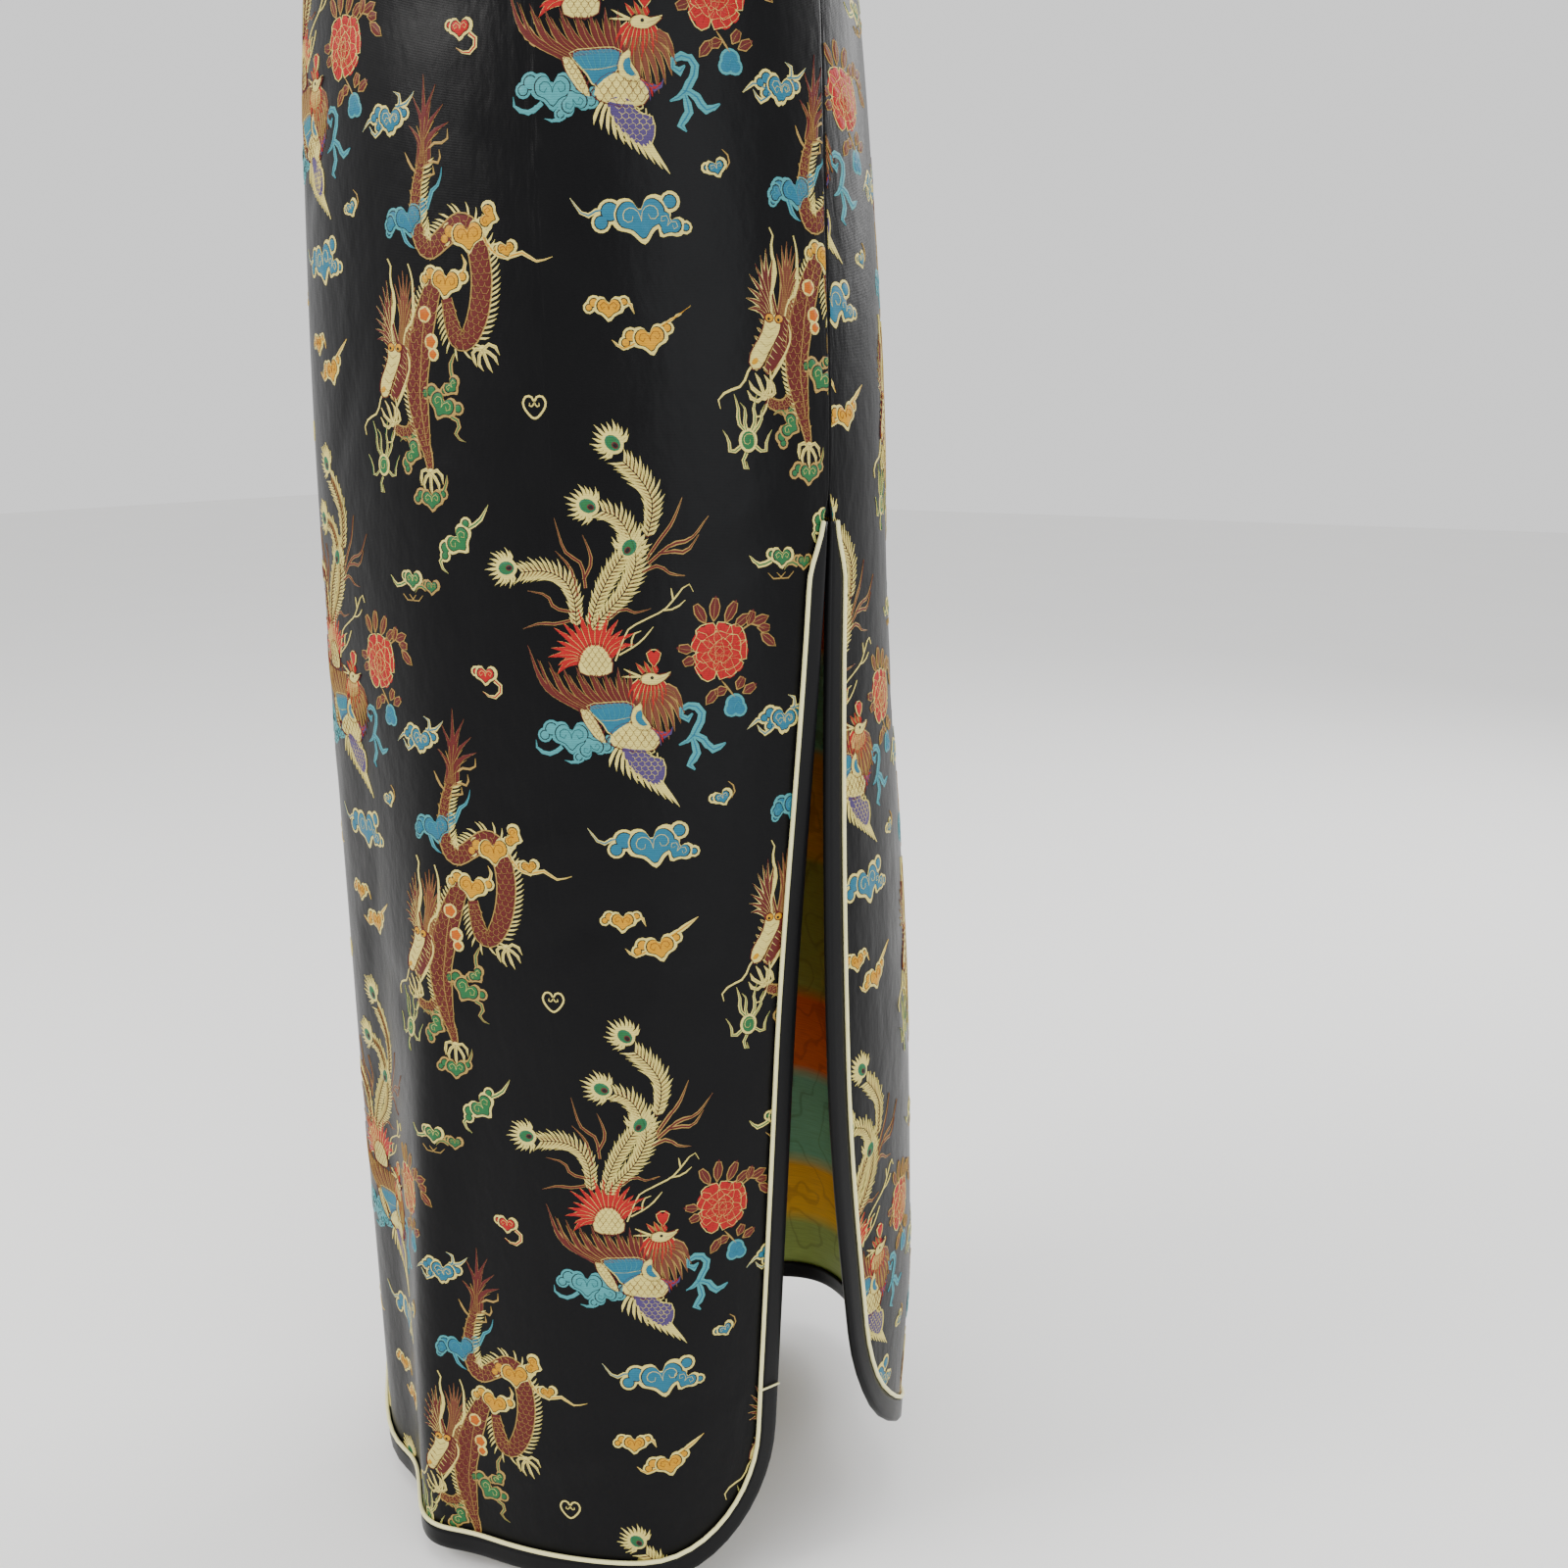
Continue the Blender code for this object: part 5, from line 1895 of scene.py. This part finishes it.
@dataclass
class Phoenix:
    """A phoenix with eyed tail feathers, wings and a crested head; its knots count from its rump."""

    loom: Loom
    at: Origin
    clouds: tuple = (
        Cloud(TEAL, TEAL, -9, -50, 18, 0, (((-14, -56), (-20, -60), (-27, -58), (-28, -53)),),
              BLACK),
        Cloud(TEAL, TEAL, 1, -56, 13, 200, (((-2, -58), (-7, -64), (-13, -63)),), BLACK),
    )

    def draw(self) -> None:
        """Draw the tail first, and over it the rump, wings, head and what is round it."""
        self.tail()
        self.fanned()
        self.wings()
        self.head()
        self.setting()

    def tail(self) -> None:
        """Draw the thin streamers and the four eyed feathers."""
        loom, at = self.loom, self.at
        for path in (((30, 38), (37, 48), (43, 56), (48, 68)), ((31, 36), (42, 45), (52, 48), (61, 59)),
                     ((36, 41), (44, 42), (50, 42), (56, 50)), ((28, 32), (36, 35), (42, 31), (49, 30)),
                     ((0, 24), (-2, 36), (-10, 42), (-15, 58)), ((-1, 28), (3, 36), (2, 43), (-1, 50)),
                     ((-4, 20), (-6, 30), (-9, 36), (-15, 42)), ((-6, 12), (-16, 14), (-20, 20), (-30, 22)),
                     ((-8, 8), (-16, 6), (-24, 6), (-33, 3)), ((10, 8), (18, 14), (24, 12), (32, 14))):
            loom.plume(MAROON, GOLD, at(*path), 1.5, (0.9, 0.15), 0.26, 0.8)
        loom.feather(at((19, 86), (27, 78), (33, 68), (33, 58), (31, 50)), 8.0, (at.x + 15, at.y + 94))
        loom.feather(at((8, 62), (17, 58), (23, 48), (25, 36), (19, 22), (8, 10), (3, 4)), 8.0,
                     (at.x + 2, at.y + 64))
        loom.feather(at((20, 42), (12, 30), (6, 18), (2, 6)), 6.5, (at.x + 22, at.y + 44))
        loom.feather(at((-34, 31), (-21, 32), (-11, 28), (-6, 19), (-5, 6)), 7.5, (at.x - 41, at.y + 33))

    def fanned(self) -> None:
        """Draw the fanned tail coverts and the scaled rump."""
        loom, at = self.loom, self.at
        tips = [turned([(25.0 + 2.4 * math.sin(2.1 * k) - 0.55 * abs(k - 6), 0)], angle,
                       (at.x + 3, at.y - 11))[0] for k, angle in enumerate(np.linspace(20, 204, 16))]
        loom.fan(RED, CREAM, at((10, -11), (-3, -12)), tips, 4.4, (0.16, -0.16), 0.26, 0.70)
        dome = at((-4, -18), (-4.5, -11), (-1, -5), (4, -3), (9, -5), (12.5, -11), (12, -18), (4, -20))
        loom.edged(CREAM, MAROON, dome, 0.42, 0.6)
        loom.scales(MAROON, at.box(-4, -19, 12, -4), 3.3, at.oval(4, -12, 7.2, 7.6), 0.56)

    def wings(self) -> None:
        """Draw the swept wing, the back and the far wing."""
        loom, at = self.loom, self.at
        tips = at((-31, -5), (-26, -12), (-20, -13), (-17, -18), (-13, -15), (-10, -19), (-6, -15), (-3, -19),
                  (1, -15), (4, -20), (8, -16), (11, -20), (15, -15), (18, -19), (21, -16))
        loom.fan(MAROON, GOLD, at((-3, -37), (23, -34)), tips, 3.3, (0.16, 0.04), 0.30, 0.85)
        loom.edged(CREAM, MAROON, at((-5, -35), (0, -37), (6, -46), (9, -55), (4, -52), (-2, -44)), 0.36, 0.5)
        loom.scales(MAROON, at.box(-4, -54, 8, -36), 3.0,
                    lambda x, y: abs(x - at.x - 1.5 + 0.75 * (y - at.y + 44)) < 3.0, 0.52)
        loom.edged(BLUE, CREAM, at((-1, -35), (8, -33), (22, -33), (22, -41), (12, -50), (7, -44)), 0.40)
        for k in range(8):
            x = 1 + 2.8 * k
            loom.ribbon(TEAL, at((x, -34), (x + 1, -38), (7 + 1.5 * k, -43 + 0.2 * k)), 0.7, (0.8, 0.8), 0.52)
        loom.ribbon(CREAM, at((5, -42), (13, -42), (22, -40)), 0.7, rise=0.56)
        for k in range(11):
            share = k / 10
            root, tip = (14 + 18 * share, -56 - 10 * share), (10 + 35 * share, -66 - 21 * share)
            loom.ribbon(CREAM, at(root, ((root[0] + tip[0]) / 2 - 1, (root[1] + tip[1]) / 2), tip), 1.9,
                        (0.9, 0.12), 0.36)
        loom.edged(PURPLE, CREAM, at((16, -53), (26, -53), (30, -60), (37, -62), (38, -70), (34, -76),
                                     (24, -70), (18, -62)), 0.44, 0.6)
        loom.scales(CREAM, at.box(17, -74, 37, -54), 3.2, at.oval(28, -64, 8.5, 9.0), 0.56, 30)
        loom.edged(CREAM, MAROON, at((9, -53), (13, -46), (20, -43), (30, -44), (36, -50), (33, -57),
                                     (24, -58), (14, -56)), 0.46, 0.6)
        loom.scales(MAROON, at.box(11, -57, 35, -45), 3.8, at.oval(23, -51, 12.0, 6.2), 0.60)
        for k in range(7):
            knots = ((30 + 1.2 * k, -45 - k), (35 + 1.2 * k, -50 + 0.4 * k), (36 + 1.0 * k, -55 + 1.6 * k))
            loom.ribbon(RED if k % 2 else PURPLE, at(*knots), 1.6, (0.8, 0.2), 0.50)

    def head(self) -> None:
        """Draw the neck's plumes, the head, the beak and the comb."""
        loom, at = self.loom, self.at
        tips = at((24, -50), (28, -54), (32, -56), (36, -55), (40, -52), (43, -48), (46, -44), (48, -39),
                  (47, -34), (45, -30))
        loom.fan(BROWN, GOLD, at((27, -28), (36, -26)), tips, 3.2, (-0.10, 0.30), 0.36, 0.85)
        loom.edged(CREAM, MAROON, at((22, -36), (27, -32), (27, -38), (32, -46), (26, -47), (21, -43)), 0.56,
                   0.5)
        loom.edged(BLUE, CREAM, at((24, -37), (27, -36), (27, -41), (30, -45), (26, -45), (23, -41)), 0.62,
                   0.5)
        tips = at((20, -31), (22, -36), (25, -33), (27, -39), (29, -34), (32, -38), (34, -33), (37, -35),
                  (39, -30))
        loom.fan(RED, CREAM, at((26, -22), (36, -22)), tips, 3.0, (-0.12, 0.12), 0.50, 0.7)
        loom.edged(CREAM, MAROON, at((26, -23), (27, -19), (32, -17.5), (36, -19), (42, -17.5), (38, -22),
                                     (33, -24.5)), 0.66, 0.5)
        loom.ribbon(MAROON, at((34, -21.5), (38, -20.2), (41.5, -18)), 0.7, (0.6, 0.3), 0.80)
        loom.blob(BLACK, at.x + 32, at.y - 20.4, 1.0, rise=0.84)
        for far in (((22, -18), (18, -16)), ((22, -20), (17, -20))):
            loom.ribbon(CREAM, at((27, -20), *far), 1.2, (1.0, 0.2), 0.5)
        loom.fan(RED, GOLD, at((28, -18), (34, -18)), at((24, -13), (28, -12), (32, -13)), 1.9, (0, 0), 0.5)
        comb = at((33, -15), (36.5, -9.5), (35.6, -6.2), (33.4, -6.8), (33, -8), (32.6, -6.8), (30.4, -6.2),
                  (29.5, -9.5))
        loom.edged(RED, CREAM, comb, 0.44, 0.5)
        loom.ribbon(RED, at((33, -13), (35, -16), (33, -20)), 1.0, (1.0, 0.5), 0.50)

    def setting(self) -> None:
        """Draw the clouds, the curl and the peony's twig."""
        loom, at = self.loom, self.at
        for row in self.clouds:
            loom.cloud(row, at)
        for path in (((46, -41), (47, -36), (53, -35), (57, -40), (54, -47), (51, -52), (45, -55)),
                     ((51, -50), (57, -52), (62, -58), (69, -55)),
                     ((52, -52), (54, -60), (50, -65), (53, -68)), ((46, -40), (50, -42), (52, -39))):
            loom.ribbon(TEAL, at(*path), 4.2, (0.5, 0.2), 0.24)
            loom.ribbon(BLUE, at(*path), 1.6, (0.5, 0.2), 0.40)
        for twig in (((14, -12), (18, -2), (21, 4), (30, 9), (38, 13), (43, 18), (50, 26), (53, 22)),
                     ((16, -9), (23, -5), (28, -1), (33, 5)), ((22, -5), (23, 1), (27, 3)),
                     ((38, 13), (44, 14), (49, 18)), ((43, 18), (42, 24))):
            loom.ribbon(CREAM, at(*twig), 0.9, (1.0, 0.4))
        loom.peony(at.x + 66, at.y - 8, 14.5)


@dataclass
class Brocade:
    """The repeat of the cloth: a dragon, a phoenix with a peony, and clouds, carried over every panel."""

    repeat: tuple = (199.5, 304.0)
    weft_rise: float = 13.0
    back_shift: tuple = (21.0, -10.0)
    binding_clear: float = 1.2
    table_rows: int = 200
    reach: float = 0.34
    least_area: float = 1e-10
    dragon_at: tuple = (-19.0, -662.0)
    phoenix_at: tuple = (84.0, -798.0)
    loose_clouds: tuple = (Cloud(BLUE, CREAM, 115, -600, 24, 8,
                                 (((104, -603), (97, -597), (89, -600), (82, -592)),)),
                           Cloud(BLUE, CREAM, 128, -603, 13, -30),
                           Cloud(YELLOW, CREAM, 99, -641, 12, 0,
                                 (((103, -641), (108, -638), (111, -644)),), MAROON),
                           Cloud(YELLOW, CREAM, 118, -655, 15, 10,
                                 (((112, -657), (105, -660), (100, -656)),
                                  ((123, -650), (131, -645), (138, -640))), MAROON),
                           Cloud(BLUE, CREAM, 151, -577, 8.5, 20),
                           Cloud(RED, CREAM, 29, -819, 10.5, 0,
                                 (((34, -822), (38, -826), (33, -831), (27, -828)),)),
                           Cloud(GREEN, CREAM, 16, -752, 15, 42,
                                 (((22, -746), (29, -742), (34, -734)), ((10, -757), (4, -764), (9, -769)))),
                           Cloud(GREEN, GOLD, -2, -776, 8, 0,
                                 (((-6, -778), (-11, -776), (-14, -780)),)),
                           Cloud(BLUE, CREAM, -14, -552, 15, -8,
                                 (((-20, -555), (-28, -551), (-35, -556)),
                                  ((-10, -547), (-3, -546), (2, -541)))),
                           Cloud(GREEN, CREAM, 184, -760, 11, 0,
                                 (((178, -762), (171, -764), (166, -759)),)),
                           Cloud(BLUE, CREAM, 186, -844, 12, 12,
                                 (((180, -846), (174, -850), (170, -845)),
                                  ((190, -840), (193, -834), (188, -831)))),)

    def clouds(self, loom: Loom) -> None:
        """The small clouds, hearts and curls between the two beasts.

        Args:
            loom: collects the parts.
        """
        for row in self.loose_clouds:
            loom.cloud(row, Origin(0.0, 0.0))
        spot = (61, -687)
        heart = np.array([(0, -5.6), (4.0, -2.4), (5.8, 1.4), (4.4, 4.6), (1.6, 4.8), (0, 2.4), (-1.6, 4.8),
                          (-4.4, 4.6), (-5.8, 1.4), (-4.0, -2.4)])
        loom.ribbon(CREAM, heart + spot, 1.2, step=1.7, closed=True)
        for hand in (1.0, -1.0):
            coil = np.array([(0.2, 2.2), (0.9, 0.2), (2.5, 0.4), (2.3, 1.9)]) * (hand, 1.0)
            loom.ribbon(CREAM, coil + spot, 0.8, step=1.5)
        loom.ribbon(GOLD, np.array([(156, -578), (158, -573), (154, -569)]), 0.8)
        for shift in (0, 5):
            chevron = np.array([(176 + shift, -768), (181 + shift, -772), (186 + shift, -768)])
            loom.ribbon(GOLD, chevron, 0.8)

    def tables(self, side: Side) -> tuple:
        """Shares across a panel by height and by distance from its middle line, on the smooth form.

        Args:
            side: which panel.

        Returns:
            Heights, distances and the table of shares.
        """
        heights = np.linspace(-1.36, -0.0005, self.table_rows)
        shares = np.linspace(-1.35, 1.35, 217)
        spots = FORM.surface(side, shares[None, :], heights[:, None], fine=False)
        steps = np.linalg.norm(np.diff(spots[..., :2], axis=1), axis=2)
        run = np.concatenate([np.zeros((len(heights), 1)), np.cumsum(steps, axis=1)], axis=1)
        run -= run[:, len(shares) // 2, None]
        distances = np.linspace(-self.reach, self.reach, 241)
        table = np.array([np.interp(distances, row, shares) for row in run])
        return heights, distances, table

    def lay(self, side: Side, points: Array, across: float, up: float, tables: tuple, under: bool) -> tuple:
        """Lay flat points on a panel.

        Args:
            side: which panel.
            points: across, up and lift in mm.
            across: shift of the repeat in mm.
            up: shift of the repeat in mm.
            tables: the panel's tables of shares.
            under: whether this is the strip under the opening.

        Returns:
            Points in metres and whether each is inside the panel.
        """
        heights, distances, table = tables
        roll = FORM.shoulder_roll
        flat = (points[:, :2] + (across, up)) * MM
        u = flat[:, 0] if side is Side.FRONT else -flat[:, 0]
        down = roll * (math.pi / 2 - 1) - flat[:, 1]
        rolled = -roll * (1.0 - np.cos(np.clip(down / roll, 0.0, math.pi / 2)))
        z = np.where(down < roll * math.pi / 2, rolled, flat[:, 1])
        inside = (down > 0) & (np.abs(u) < self.reach - 0.001)
        i = np.clip((z - heights[0]) / (heights[1] - heights[0]), 0, len(heights) - 1.001)
        j = np.clip((u - distances[0]) / (distances[1] - distances[0]), 0, len(distances) - 1.001)
        a, b, s, t = i.astype(int), j.astype(int), i % 1, j % 1
        share = ((1 - s) * ((1 - t) * table[a, b] + t * table[a, b + 1])
                 + s * ((1 - t) * table[a + 1, b] + t * table[a + 1, b + 1]))
        rim = 1.0 - self.binding_clear * MM / (FORM.edge_angle(side, z) * FORM.column("half_width", z))
        held = np.clip(share, -rim, rim)
        if under:
            held = np.minimum(held, -0.03)
            high = FORM.panel_top(held, side) - self.binding_clear * MM
            low = FORM.opening_edge(held) - 0.004
        else:
            high = FORM.top(side, held) - self.binding_clear * MM
            low = FORM.hem_edge(side, held) + self.binding_clear * MM
        inside &= (np.abs(share) < rim) & (z < high) & (z > low) & ((share < -0.03) | (not under))
        z = np.clip(z, low, high)
        depth = CLOTH.underlap_depth if under else 0.0
        return FORM.place(side, held, z, CLOTH.wall / 2 + points[:, 2] * MM - depth), inside

    def weave(self, name: str, side: Side, loom: Loom, under: bool = False) -> None:
        """Carry the repeat over a panel, one piece for each thread.

        Args:
            name: first part of the pieces' names.
            side: which panel.
            loom: the parts of one repeat.
            under: whether this is the strip under the opening.
        """
        tables = self.tables(side)
        wide, tall = self.repeat
        shift = (0.0, 0.0) if side is Side.FRONT else self.back_shift
        for thread in Thread:
            part = loom.gathered(thread)
            if part is None:
                continue
            points, faces = part
            spread = []
            for column in range(-3, 4):
                for row in range(-3, 5):
                    across = shift[0] + column * wide
                    up = shift[1] + row * tall + column * self.weft_rise
                    x, y = (points[:, 0] + across) * MM, (points[:, 1] + up) * MM
                    near = (np.abs(x) < 0.30) & (y < 0.07) & (y > (-0.24 if under else -1.36))
                    keep = near[faces].any(axis=1)
                    if not keep.any():
                        continue
                    used, fresh = np.unique(faces[keep], return_inverse=True)
                    spots, inside = self.lay(side, points[used], across, up, tables, under)
                    fresh = fresh.reshape(-1, 3)
                    fresh = fresh[inside[fresh].any(axis=1)]
                    corner = spots[fresh]
                    area = np.cross(corner[:, 1] - corner[:, 0], corner[:, 2] - corner[:, 0])
                    fresh = fresh[np.linalg.norm(area, axis=1) > self.least_area]
                    if len(fresh):
                        left, fresh = np.unique(fresh, return_inverse=True)
                        spread.append((spots[left], fresh.reshape(-1, 3)))
            if spread:
                points, faces = join(spread)
                finish = ThreadFinish(thread.name.lower() + "_silk", SILKS[thread])
                made = mesh_piece(f"{name}_{thread.name.lower()}_figures", points, faces, (finish,))
                wear(made, None)

    def build(self) -> None:
        """Draw one repeat and weave it into the front, the back and the underlap."""
        loom = Loom()
        Dragon(loom, Origin(*self.dragon_at)).draw()
        Phoenix(loom, Origin(*self.phoenix_at)).draw()
        self.clouds(loom)
        self.weave("front", Side.FRONT, loom)
        self.weave("back", Side.BACK, loom)
        self.weave("underlap", Side.FRONT, loom, under=True)


PANELS = Panels()
TRIMS = Trims()


def main() -> None:
    """Build the dress piece by piece, then the studio."""
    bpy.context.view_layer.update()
    for part in (Studio(), PANELS, TRIMS, Collar(), Frogs(), Brocade()):
        LOG.info("building %s", type(part).__name__)
        part.build()
    bpy.context.view_layer.update()


if __name__ == "__main__":
    main()
